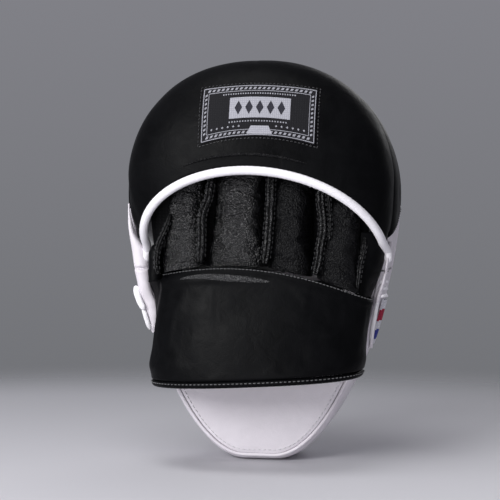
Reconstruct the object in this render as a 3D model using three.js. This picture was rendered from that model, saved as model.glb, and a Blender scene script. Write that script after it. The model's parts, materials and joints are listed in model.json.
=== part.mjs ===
// A leather focus mitt for the right hand, standing on its heel with the hand side towards -Y.
// Millimetres, +Z up. The strike face looks along +Y and the thumb side is at -X.
// The pad is laid out flat as (x, y, s), where s runs along the pad from heel to top, and bend() then curls
// it: y = 0 is the pad's back face, y = THICKNESS its strike face, and negative y is the hand side.
import * as THREE from "three";

// Driving dimensions.
const LENGTH = 272; // from heel to top along the pad
const HALF_WIDTH = 94; // at the widest level
const WIDEST_AT = 185; // the s of the widest level
const THICKNESS = 45; // back face to strike face
const FOOT_HALF = 10; // half the flat at the heel
const CURL_FROM = 120; // the s where the curl starts
const CURL_RADIUS = 520;
const CURL_DEPTH = 20; // the y whose length the curl leaves alone
const CREASE = 131; // the s where palm section and finger section meet
const CREASE_GAP = 0.4; // half the parting behind the flex axis
const FLEX_Y = 8; // depth of the flex axis
const FLEX_RANGE = THREE.MathUtils.degToRad(8);
const GAP = 0.3; // between pieces that touch
const LEATHER = 2.5; // cover, gusset and panel thickness
const UNDER_COVER = 5; // how deep the front piping's seam reaches behind the strike face
const PIPING_R = 2.4; // around the strike face
const PIPING_Y = THICKNESS - 1.7;
const BACK_PIPING_R = 1.2; // around the back of the palm section
const COVER_IN = 2 * PIPING_R + 2 * GAP; // the strike covers' edge, inside the planform
const BACK_IN = 9.8; // the same for the palm section's back panel
const FINGER_BACK_IN = 17; // and for the finger section's
const SHOCK_FOAM_Y = [24.3, 36, 39.5, THICKNESS - LEATHER - GAP]; // levels from back to front
const IMPACT_FOAM_Y = [LEATHER + GAP, 8, 14, 24];
const BINDING_R = 3; // the white roll along the hood's edge

// The planform's sides are Bezier curves from the widest level to the foot, and its top is a superellipse.
const SIDE_HANDLE = 65;
const HEEL_HANDLE = 48;
const TOP_POWER = 2 / 2.2;
const TOP_END = THREE.MathUtils.degToRad(86);

// The gusset's outside, by depth: its back edge is rounded at the heel, and square by the top.
const SKIN_ROUND_TO = 18;
const SKIN_Y = [LEATHER + GAP, 7, 12, SKIN_ROUND_TO, 36, THICKNESS - 4.4]; // from back to front
const SKIN_IN = [6.8, 2.4, 0, 0, 0, 0.8]; // inside the planform, at each of those depths
const SKIN_SQUARE = [140, 200]; // the s between which the rounding fades out

// The hood: its opening edge is half an ellipse that stands off the pad.
const HOOD_FOOT = 148;
const HOOD_HALF = 82;
const HOOD_SKEW = [5, -3]; // how far the opening edge moves to +X at its ends and at its middle
const HOOD_RISE = 45.5;
const HOOD_FOOT_Y = -2;
const HOOD_STANDOFF = 42;
const HOOD_STANDOFF_POWER = 0.55;
const HOOD_SPREAD = 0.9;
const HOOD_ROUNDNESS = 2 / 2.8;
const HOOD_RIM_Y = LEATHER - 0.1;
const HOOD_RIM_IN = [8.6, 2.6]; // the rim's inset at the hood's foot and higher up
const HOOD_RIM_FADE = [150, 190];
const HOOD_START = THREE.MathUtils.degToRad(5);
const BINDING_START = THREE.MathUtils.degToRad(4);
const HOOD_THIN_UNTIL = Math.sin(THREE.MathUtils.degToRad(50));
const HOOD_THINNEST = 0.45; // of the layers' thickness, at the hood's ends
const HOOD_LAYERS = { shell: [0, 1.6], padding: [2.4, 5.6], lining: [6.3, 7.2] };

// The knuckle seam and the cuff's lower edge are parabolas over x.
const seamAt = (x) => 136 - 0.0022 * (x + 15) ** 2;
const SEAM_GAP = 1; // from the knuckle seam to the stalls above it and to the cuff below
const cuffBottomAt = (x) => 61.3 + 0.057 * x;
const CUFF = {
  centreY: -14,
  halfBottom: 75,
  halfTop: 73.5,
  shiftBottom: 0.5,
  shiftTop: 9,
  outBottom: 43,
  outTop: 24,
  outPower: 1.25, // of the fall from outBottom to outTop
  inward: 20,
  tuck: THREE.MathUtils.degToRad(35), // how far each end turns in past the widest point
  power: 2 / 2.5,
  layers: { shell: [0, 1.8], padding: [2.1, 5.1], lining: [5.4, 6.4] },
  hemR: 2.4,
};

const STALLS = {
  index: { from: -64, to: -32, tip: 204 },
  middle: { from: -32, to: 8, tip: 212 },
  ring: { from: 8, to: 41, tip: 208 },
  little: { from: 41, to: 73, tip: 181 },
};
const STALL_WALL = 1.8;
const STALL_Y = -18; // the middle of the stalls' section, at the foot
const STALL_DEPTH = 16;
const STALL_TAPER = [2.5, 3.5]; // how much less the half width and half depth are at the tip
const STALL_LEAN = 2.4; // how far the tip leans towards the pad
const STALL_POWER = 0.72; // of the superellipse section
const STALL_PROFILE = [
  [0, 1], [0.3, 1], [0.6, 1], [0.8, 1], [0.92, 0.94], [0.98, 0.8], [1, 0.55],
]; // [share of the length, share of the section]
const THUMB = { x: -71.2, y: -13.5, half: 6, deep: 12.5, taper: 2.5, tip: 149, power: 0.8 };
const THUMB_PROFILE = [[0, 1], [0.5, 1], [0.8, 0.95], [0.93, 0.8], [1, 0.5]];
const WELT = 2.8;
const WELT_HEIGHT = 6.5;
const WELT_SINK = 5.5; // how much nearer to the pad a welt's tip is than its foot
const WELT_TIPS = { thumb_index: 172, index_middle: 194, middle_ring: 198, ring_little: 188 };
const LITTLE_WALL = { shoulder: 75, top: 158, footInset: 11.5, out: [-24, -17], thickness: 1.8 };

const PALM_BED = { from: 64, to: 126, left: -48, right: 58, thickness: 1.3 };
const GRIP_AT = 96;
const GRIP_PROFILE = [[0, 0], [22, 0], [21.5, 2.5], [18, 6.5], [11, 9.3], [4, 10.3], [0, 10.4]];
const TARGET = { radius: 34, thickness: 2, at: 78 };
const TAB = { from: 83, to: 113, back: 7, front: 17, thickness: 0.9 };
const LABEL = { x: 4, s: 227.5, width: 77, height: 36, thickness: 0.8 };

// White bands run down the pad's edge from the hood's binding to the folds where the cuff is sewn on.
// Each end is [inner x, outer x, s].
const SIDE_BANDS = {
  thumb: { finger: [[-76.8, -88, 147], [-76, -86.6, 132]], palm: [[-75.5, -86.4, 130], [-72.4, -79.5, 90]] },
  little: { finger: [[82, 87.6, 147], [81, 86.6, 132]], palm: [[80.6, 86.4, 130], [75.6, 79.4, 82]] },
};
const BAND_Y = -0.8;
const BAND_EDGE_Y = -2.8;
const BAND_CROWN_Y = -5.4;

const lerp = THREE.MathUtils.lerp;
const smooth = THREE.MathUtils.smoothstep;
const power = (value, exponent) => Math.sign(value) * Math.abs(value) ** exponent;

// Curls a flat point into place.
function bend(x, y, s) {
  if (s <= CURL_FROM) return new THREE.Vector3(x, y, s);
  const angle = (s - CURL_FROM) / CURL_RADIUS;
  const radius = CURL_RADIUS - (y - CURL_DEPTH);
  return new THREE.Vector3(
    x,
    CURL_DEPTH + CURL_RADIUS - radius * Math.cos(angle),
    CURL_FROM + radius * Math.sin(angle),
  );
}

// The right half of the planform, q from 0 at the foot to 1 at the top.
function edge(q) {
  if (q < 0.5) {
    const t = 1 - 2 * q;
    const a = (1 - t) ** 3;
    const b = 3 * (1 - t) ** 2 * t;
    const c = 3 * (1 - t) * t ** 2;
    const x = HALF_WIDTH * (a + b) + (FOOT_HALF + HEEL_HANDLE) * c + FOOT_HALF * t ** 3;
    return [x, WIDEST_AT * a + (WIDEST_AT - SIDE_HANDLE) * b];
  }
  const angle = (2 * q - 1) * TOP_END;
  return [
    HALF_WIDTH * Math.cos(angle) ** TOP_POWER,
    WIDEST_AT + (LENGTH - WIDEST_AT) * Math.sin(angle) ** TOP_POWER,
  ];
}

// The planform moved inwards, as { x, s }.
function rim(q, inset) {
  const step = 1e-3;
  const [x0, s0] = edge(Math.max(0, q - step));
  const [x1, s1] = edge(Math.min(1, q + step));
  const size = Math.hypot(x1 - x0, s1 - s0);
  const [x, s] = edge(q);
  return { x: x - (inset * (s1 - s0)) / size, s: s + (inset * (x1 - x0)) / size };
}

// The q where the planform reaches the level s.
function levelOf(s) {
  let [low, high] = [0, 1];
  for (let i = 0; i < 40; i++) {
    const middle = (low + high) / 2;
    if (edge(middle)[1] < s) low = middle;
    else high = middle;
  }
  return low;
}

const CREASE_Q = levelOf(CREASE);
const HOOD_FOOT_Q = levelOf(HOOD_FOOT);
const PALM = { from: 0, to: CREASE_Q, rows: 10 };
const FINGERS = { from: CREASE_Q, to: 1, rows: 11 };

// The two sections part in a V that opens towards the strike face, so the pad can fold forwards.
function creaseGap(y) {
  return CREASE_GAP + Math.max(0, y - FLEX_Y) * Math.tan(FLEX_RANGE / 2);
}

function rowAt(section, v, inset, y) {
  const q = lerp(section.from, section.to, v);
  let { x, s } = rim(q, inset);
  if (Math.abs(q - CREASE_Q) < 1e-9) s = CREASE;
  if (section === PALM) s -= (creaseGap(y) * s) / CREASE;
  else s += (creaseGap(y) * (LENGTH - s)) / (LENGTH - CREASE);
  return { x, s };
}

// How far the gusset's outside lies inside the planform.
function skinInset(y, s) {
  const i = SKIN_Y.findLastIndex((level, k) => level <= y && k + 1 < SKIN_Y.length);
  const share = (y - SKIN_Y[i]) / (SKIN_Y[i + 1] - SKIN_Y[i]);
  const inset = lerp(SKIN_IN[i], SKIN_IN[i + 1], share);
  return y < SKIN_ROUND_TO ? inset * (1 - smooth(s, ...SKIN_SQUARE)) : inset;
}

// The closed surface of a box whose point (u, v, w) is place(u, v, w), each from 0 to 1.
function block(place, nu, nv, nw) {
  const points = [];
  const index = new Map();
  const faces = [];
  const at = (i, j, k) => {
    const key = `${i},${j},${k}`;
    if (!index.has(key)) {
      index.set(key, points.length / 3);
      points.push(...place(i / nu, j / nv, k / nw).toArray());
    }
    return index.get(key);
  };
  const quad = (a, b, c, d) => faces.push(a, b, c, a, c, d);
  for (const k of [0, nw])
    for (let i = 0; i < nu; i++)
      for (let j = 0; j < nv; j++) {
        const q = [at(i, j, k), at(i + 1, j, k), at(i + 1, j + 1, k), at(i, j + 1, k)];
        quad(...(k ? q : q.reverse()));
      }
  for (const j of [0, nv])
    for (let i = 0; i < nu; i++)
      for (let k = 0; k < nw; k++) {
        const q = [at(i, j, k), at(i + 1, j, k), at(i + 1, j, k + 1), at(i, j, k + 1)];
        quad(...(j ? q.reverse() : q));
      }
  for (const i of [0, nu])
    for (let j = 0; j < nv; j++)
      for (let k = 0; k < nw; k++) {
        const q = [at(i, j, k), at(i, j + 1, k), at(i, j + 1, k + 1), at(i, j, k + 1)];
        quad(...(i ? q : q.reverse()));
      }
  return closed(points, faces);
}

// A body through rings of equally many points, with a fan over its first and its last ring.
function loft(rings) {
  const points = rings.flat().flatMap((p) => p.toArray());
  const faces = [];
  const n = rings[0].length;
  for (let r = 0; r + 1 < rings.length; r++)
    for (let i = 0; i < n; i++) {
      const [a, b] = [r * n + i, r * n + ((i + 1) % n)];
      faces.push(a, b, b + n, a, b + n, a + n);
    }
  for (const [first, turn] of [[0, false], [(rings.length - 1) * n, true]]) {
    const centre = new THREE.Vector3();
    rings[first / n].forEach((p) => centre.addScaledVector(p, 1 / n));
    const tip = points.length / 3;
    points.push(...centre.toArray());
    for (let i = 0; i < n; i++) {
      const [a, b] = [first + i, first + ((i + 1) % n)];
      faces.push(...(turn ? [tip, a, b] : [tip, b, a]));
    }
  }
  return closed(points, faces);
}

// A geometry from points and faces, turned so that its faces point out.
function closed(points, faces) {
  let volume = 0;
  const [a, b, c] = [new THREE.Vector3(), new THREE.Vector3(), new THREE.Vector3()];
  for (let i = 0; i < faces.length; i += 3) {
    a.fromArray(points, 3 * faces[i]);
    b.fromArray(points, 3 * faces[i + 1]);
    c.fromArray(points, 3 * faces[i + 2]);
    volume += a.dot(b.cross(c));
  }
  const geometry = new THREE.BufferGeometry();
  geometry.setAttribute("position", new THREE.Float32BufferAttribute(points, 3));
  geometry.setIndex(volume > 0 ? faces : faces.reverse());
  return geometry;
}

// A round bar along points, with flat ends.
function bar(points, radius, sides = 8) {
  const path = new THREE.CatmullRomCurve3(points, false, "centripetal");
  const section = new THREE.Shape().absarc(0, 0, radius, 0, 2 * Math.PI);
  return new THREE.ExtrudeGeometry(section, {
    steps: points.length * 2,
    curveSegments: sides / 2,
    bevelEnabled: false,
    extrudePath: path,
  });
}

// One layer of a section of the pad, between two depths.
function slab(section, levels, inset, columns = 6) {
  return block(
    (u, v, w) => {
      const at = w * (levels.length - 1);
      const y = levels[Math.round(at)];
      const { s: level } = rowAt(section, v, 0, y);
      const { x, s } = rowAt(section, v, inset(y, level), y);
      return bend(x * (2 * u - 1), y, s);
    },
    columns,
    section.rows,
    levels.length - 1,
  );
}

// Walks a section's planform from one end of the crease round to the other.
function round(section, u, inset, y) {
  const n = section.rows;
  const i = Math.round(u * (2 * n + 1));
  const left = i <= n;
  let v = left ? 1 - i / n : (i - n - 1) / n;
  if (section === FINGERS) v = 1 - v;
  const { x, s } = rowAt(section, v, inset, y);
  return [left ? -x : x, s];
}

function gusset(section) {
  return block(
    (u, v, w) => {
      const y = SKIN_Y[Math.round(v * (SKIN_Y.length - 1))];
      const [, level] = round(section, u, 0, y);
      const [x, s] = round(section, u, skinInset(y, level) + LEATHER * w, y);
      return bend(x, y, s);
    },
    2 * section.rows + 1,
    SKIN_Y.length - 1,
    1,
  );
}

function piping(section, radius, inset, y) {
  const points = [];
  const n = 2 * section.rows + 1;
  for (let i = 0; i <= n; i++) {
    const [x, s] = round(section, i / n, inset, y);
    points.push(bend(x, y, s));
  }
  return bar(points, radius, 6);
}

// The hood's rim on the pad and its opening edge, as [x, y, s], with angle from 0 on the right to PI.
function hoodRim(angle) {
  const side = Math.cos(angle) < 0 ? -1 : 1;
  const turn = side > 0 ? angle : Math.PI - angle;
  const q = lerp(HOOD_FOOT_Q, 1, (turn / (Math.PI / 2)) ** HOOD_SPREAD);
  const { x, s } = rim(q, lerp(...HOOD_RIM_IN, smooth(edge(q)[1], ...HOOD_RIM_FADE)));
  return [side * x, HOOD_RIM_Y, s];
}

function hoodEdge(angle) {
  const climb = Math.max(0, Math.sin(angle));
  return [
    HOOD_HALF * Math.cos(angle) + lerp(...HOOD_SKEW, climb),
    HOOD_FOOT_Y - HOOD_STANDOFF * climb ** HOOD_STANDOFF_POWER,
    HOOD_FOOT + HOOD_RISE * climb,
  ];
}

// A point of the hood's outside, v from 0 at the rim to 1 at the opening edge, before bending.
function hoodFlat(angle, v) {
  const a = 1 - power(Math.cos((v * Math.PI) / 2), HOOD_ROUNDNESS);
  const b = power(Math.sin((v * Math.PI) / 2), HOOD_ROUNDNESS);
  const [x0, y0, s0] = hoodRim(angle);
  const [x1, y1, s1] = hoodEdge(angle);
  return new THREE.Vector3(lerp(x0, x1, a), lerp(y0, y1, b), lerp(s0, s1, a));
}

// The same point moved inwards along the surface's normal.
function hoodPoint(angle, v, depth) {
  const step = 0.01;
  const p = hoodFlat(angle, v);
  const across = hoodFlat(angle + step, v).sub(hoodFlat(angle - step, v));
  const along = hoodFlat(angle, Math.min(1, v + step)).sub(hoodFlat(angle, Math.max(0, v - step)));
  const normal = across.cross(along);
  if (v === 0) normal.y = 0;
  normal.normalize();
  p.addScaledVector(normal, -depth);
  return bend(p.x, p.y, p.z);
}

// The v at which the hood's layers stop, just short of the binding.
function hoodEnd(angle) {
  let [low, high] = [0.5, 1];
  const tip = hoodFlat(angle, 1);
  for (let i = 0; i < 40; i++) {
    const middle = (low + high) / 2;
    if (hoodFlat(angle, middle).distanceTo(tip) > BINDING_R + 2 * GAP) low = middle;
    else high = middle;
  }
  return low;
}

function hoodLayer([outer, inner], columns = 28, rows = 7) {
  return block(
    (u, v, w) => {
      const angle = lerp(HOOD_START, Math.PI - HOOD_START, u);
      const thin = lerp(HOOD_THINNEST, 1, smooth(Math.sin(angle), 0, HOOD_THIN_UNTIL));
      return hoodPoint(angle, v * hoodEnd(angle), thin * lerp(outer, inner, w));
    },
    columns,
    rows,
    1,
  );
}

// The angle and v of the hood's outside over the flat place (x, s).
function hoodAt(x, s) {
  let [low, high] = [HOOD_START, Math.PI - HOOD_START];
  const side = (angle) => {
    const [x0, , s0] = hoodRim(angle);
    const [x1, , s1] = hoodEdge(angle);
    return (x1 - x0) * (s - s0) - (s1 - s0) * (x - x0);
  };
  for (let i = 0; i < 40; i++) {
    const middle = (low + high) / 2;
    if (side(middle) < 0) low = middle;
    else high = middle;
  }
  const [x0, , s0] = hoodRim(low);
  const [x1, , s1] = hoodEdge(low);
  const a = ((x - x0) * (x1 - x0) + (s - s0) * (s1 - s0)) / ((x1 - x0) ** 2 + (s1 - s0) ** 2);
  return [low, (Math.acos((1 - a) ** (1 / HOOD_ROUNDNESS)) * 2) / Math.PI];
}

function hoodLabel() {
  return block(
    (u, v, w) => {
      const [angle, at] = hoodAt(LABEL.x + LABEL.width * (u - 0.5), LABEL.s + LABEL.height * (v - 0.5));
      return hoodPoint(angle, at, -2 * GAP - LABEL.thickness * w);
    },
    12,
    6,
    1,
  );
}

function hoodBinding() {
  const points = [];
  const steps = 22;
  for (let i = 0; i <= steps; i++) {
    const [x, y, s] = hoodEdge(lerp(BINDING_START, Math.PI - BINDING_START, i / steps));
    points.push(bend(x, y, s));
  }
  return bar(points, BINDING_R);
}

// A finger stall is a leather pocket, closed at the tip and open at the knuckle seam.
function stallRing({ from, to, tip }, t, wall, shrink) {
  const sides = 20;
  const ring = [];
  for (let i = 0; i < sides; i++) {
    const angle = (2 * Math.PI * i) / sides;
    const half = ((to - from - WELT) / 2 - STALL_TAPER[0] * t - wall) * shrink;
    const deep = (STALL_DEPTH - STALL_TAPER[1] * t - wall) * shrink;
    const x = (from + to) / 2 + half * power(Math.cos(angle), STALL_POWER);
    const y = STALL_Y + STALL_LEAN * t + deep * power(Math.sin(angle), STALL_POWER);
    ring.push(bend(x, y, lerp(seamAt(x) + SEAM_GAP, tip, t) - (t === 1 ? wall : 0)));
  }
  return ring;
}

// A pocket whose ring(t, wall, shrink) gives its section, made of its inside and its outside.
function pocket(profile, ring) {
  const outside = profile.map(([t, shrink]) => ring(t, 0, shrink));
  const inside = profile.map(([t, shrink]) => ring(t, STALL_WALL, shrink));
  return loft([...inside.reverse(), ...outside]);
}

// A folded leather welt that stands up between two stalls.
function welt(x, tip) {
  const half = WELT / 2 - GAP;
  return block(
    (u, v, w) => {
      const px = x + half * (2 * u - 1);
      const s = lerp(seamAt(x) + 3 * SEAM_GAP, tip, v);
      const top = STALL_Y - STALL_DEPTH + 0.5 + WELT_SINK * v;
      return bend(px, top + WELT_HEIGHT * w, s);
    },
    1,
    6,
    1,
  );
}

// The thumb stall stands beside the index stall.
function thumbRing(t, wall, shrink) {
  const sides = 16;
  const ring = [];
  for (let i = 0; i < sides; i++) {
    const angle = (2 * Math.PI * i) / sides;
    const deep = THUMB.deep - THUMB.taper * t - wall;
    const x = THUMB.x + (THUMB.half - wall) * shrink * power(Math.cos(angle), THUMB.power);
    const y = THUMB.y + deep * shrink * power(Math.sin(angle), THUMB.power);
    ring.push(bend(x, y, lerp(seamAt(x) + SEAM_GAP, THUMB.tip, t) - (t === 1 ? wall : 0)));
  }
  return ring;
}

// The glove's side beside the little finger, from the stall's shoulder down to the pad.
function littleSide() {
  return block(
    (u, v, w) => {
      const { shoulder, top, footInset, out, thickness } = LITTLE_WALL;
      const s = lerp(seamAt(shoulder) + SEAM_GAP, top, v);
      const foot = rim(levelOf(s), footInset).x;
      const turn = (u * Math.PI) / 2;
      const x = lerp(foot, shoulder, 1 - Math.cos(turn)) - thickness * w;
      return bend(x, lerp(-2 * GAP, lerp(...out, v), Math.sin(turn)) + 2 * GAP * w * u, s);
    },
    5,
    5,
    1,
  );
}

// A flat point of the cuff: u from the right end round to the left, v from the lower edge up.
function cuffFlat(u, v, lift = 0) {
  const angle = lerp(-CUFF.tuck, Math.PI + CUFF.tuck, u);
  const half = lerp(CUFF.halfBottom, CUFF.halfTop, v);
  const out = lerp(CUFF.outBottom, CUFF.outTop, v ** CUFF.outPower);
  const x = lerp(CUFF.shiftBottom, CUFF.shiftTop, v) + half * power(Math.cos(angle), CUFF.power);
  const bulge = power(Math.sin(angle), CUFF.power);
  const y = CUFF.centreY - bulge * (bulge > 0 ? out : CUFF.inward);
  return new THREE.Vector3(x, y, lerp(cuffBottomAt(x) + lift, seamAt(x) - SEAM_GAP, v));
}

function cuffPoint(u, v, depth, lift) {
  const step = 0.01;
  const across = cuffFlat(Math.min(1, u + step), v).sub(cuffFlat(Math.max(0, u - step), v));
  const normal = new THREE.Vector3(across.y, -across.x, 0).normalize();
  const p = cuffFlat(u, v, lift).addScaledVector(normal, depth);
  return bend(p.x, p.y, p.z);
}

function cuffLayer([outer, inner]) {
  return block(
    (u, v, w) => cuffPoint(u, v, lerp(outer, inner, w), CUFF.hemR + 2 * GAP),
    26,
    4,
    1,
  );
}

function cuffHem() {
  const points = [];
  const steps = 26;
  for (let i = 0; i <= steps; i++) points.push(cuffPoint(i / steps, 0, CUFF.hemR + GAP, 0));
  return bar(points, CUFF.hemR);
}

// A padded band of leather on the pad's edge, rounded on the hand side.
function sideBand([[inHigh, outHigh, high], [inLow, outLow, low]]) {
  return block(
    (u, v, w) => {
      const x = lerp(lerp(inHigh, inLow, v), lerp(outHigh, outLow, v), u);
      const crown = lerp(BAND_EDGE_Y, BAND_CROWN_Y, Math.sin(Math.PI * u));
      return bend(x, lerp(BAND_Y, crown, w), lerp(high, low, v));
    },
    6,
    4,
    1,
  );
}

// The bed under the palm of the hand.
function palmBed() {
  return block(
    (u, v, w) => {
      const { from, to, left, right, thickness } = PALM_BED;
      return new THREE.Vector3(lerp(left, right, u), -GAP - thickness * (1 - w), lerp(from, to, v));
    },
    1,
    1,
    1,
  );
}

// A low dome that fills the hollow of the hand.
function palmGrip() {
  const dome = new THREE.LatheGeometry(GRIP_PROFILE.map(([r, h]) => new THREE.Vector2(r, h)), 28);
  dome.rotateX(Math.PI);
  dome.translate(0, -PALM_BED.thickness - 2 * GAP, GRIP_AT);
  return dome;
}

// A short woven ribbon on the gusset's little-finger side.
function sideTab() {
  return block(
    (u, v, w) => {
      const level = lerp(TAB.from, TAB.to, v);
      const y = lerp(TAB.back, TAB.front, u);
      const inset = skinInset(y, level) - GAP - TAB.thickness * w;
      const { x, s } = rowAt(PALM, levelOf(level) / CREASE_Q, inset, y);
      return new THREE.Vector3(x, y, s);
    },
    2,
    4,
    1,
  );
}

// A round patch sewn over the palm, with a flat face.
function targetPatch() {
  const disc = new THREE.CylinderGeometry(TARGET.radius, TARGET.radius, TARGET.thickness, 40);
  disc.translate(0, THICKNESS + GAP + TARGET.thickness / 2, TARGET.at);
  return disc;
}

// Materials.
const BLACK = new THREE.MeshStandardMaterial({ color: 0x111113, roughness: 0.5, metalness: 0 });
const WHITE = new THREE.MeshStandardMaterial({ color: 0xd9d2da, roughness: 0.55, metalness: 0 });
const FOAM = new THREE.MeshStandardMaterial({ color: 0x8e8e90, roughness: 0.95, metalness: 0 });
const LINING = new THREE.MeshStandardMaterial({ color: 0x1c1c1f, roughness: 0.9, metalness: 0 });
const WOVEN = new THREE.MeshStandardMaterial({ color: 0x9a9aa2, roughness: 0.85, metalness: 0 });

const mitt = new THREE.Group();
function add(name, geometry, material) {
  const mesh = new THREE.Mesh(geometry, material);
  mesh.name = name;
  mitt.add(mesh);
}

// The pad's two sections, layer by layer from the strike face back.
const foamInset = (y, s) => (y > THICKNESS - UNDER_COVER ? COVER_IN : skinInset(y, s) + LEATHER + 4 * GAP);
for (const [name, section] of [["palm", PALM], ["finger", FINGERS]]) {
  add(
    `${name}_strike_cover`,
    slab(section, [THICKNESS - LEATHER, THICKNESS], () => COVER_IN),
    WHITE,
  );
  add(`${name}_shock_foam`, slab(section, SHOCK_FOAM_Y, foamInset), FOAM);
  add(`${name}_impact_foam`, slab(section, IMPACT_FOAM_Y, foamInset), FOAM);
  add(`${name}_side_gusset`, gusset(section), WHITE);
  add(`${name}_front_piping`, piping(section, PIPING_R, PIPING_R + 0.1, PIPING_Y), BLACK);
}
add("palm_back_panel", slab(PALM, [0, LEATHER], () => BACK_IN), WHITE);
add("palm_bed_lining", palmBed(), LINING);
add("palm_grip_pad", palmGrip(), BLACK);
add("palm_back_piping", piping(PALM, BACK_PIPING_R, BACK_IN - BACK_PIPING_R - GAP, BACK_PIPING_R), WHITE);
add("finger_back_panel", slab(FINGERS, [0, LEATHER], () => FINGER_BACK_IN), LINING);
add("target_patch", targetPatch(), BLACK);
add("side_tab", sideTab(), WOVEN);
for (const [side, { finger, palm }] of Object.entries(SIDE_BANDS)) {
  add(`${side}_side_band`, sideBand(finger), WHITE);
  add(`${side}_side_fold`, sideBand(palm), WHITE);
}

// The hood over the fingertips.
add("hood_shell", hoodLayer(HOOD_LAYERS.shell), BLACK);
add("hood_padding", hoodLayer(HOOD_LAYERS.padding), FOAM);
add("hood_lining", hoodLayer(HOOD_LAYERS.lining), LINING);
add("hood_edge_binding", hoodBinding(), WHITE);
add("hood_label", hoodLabel(), WOVEN);

// The glove: stalls, the welts between them, and the little finger's side.
for (const [finger, size] of Object.entries(STALLS))
  add(`${finger}_stall`, pocket(STALL_PROFILE, (...ring) => stallRing(size, ...ring)), BLACK);
add("thumb_stall", pocket(THUMB_PROFILE, thumbRing), BLACK);
Object.entries(WELT_TIPS).forEach(([pair, tip], i) =>
  add(`${pair}_welt`, welt(Object.values(STALLS)[i].from, tip), BLACK),
);
add("little_side_wall", littleSide(), BLACK);

// The cuff over the back of the hand.
add("cuff_shell", cuffLayer(CUFF.layers.shell), BLACK);
add("cuff_padding", cuffLayer(CUFF.layers.padding), FOAM);
add("cuff_lining", cuffLayer(CUFF.layers.lining), LINING);
add("cuff_hem_binding", cuffHem(), BLACK);

// The origin is on the floor, at the middle of the mitt's box.
const box = new THREE.Box3().setFromObject(mitt);
const middle = box.getCenter(new THREE.Vector3());
mitt.position.set(-middle.x, -middle.y, -box.min.z);

export default mitt;
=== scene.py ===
"""A leather focus mitt for a right hand, standing on its heel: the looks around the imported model.

Shapes are worked out in millimetres in the pad's own frame, where y = 0 is the pad's back face and negative y
is the hand side, and (x, y, s) is curled into place by bend(). mesh_piece() turns them into metres.
"""

import json
import math

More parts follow.
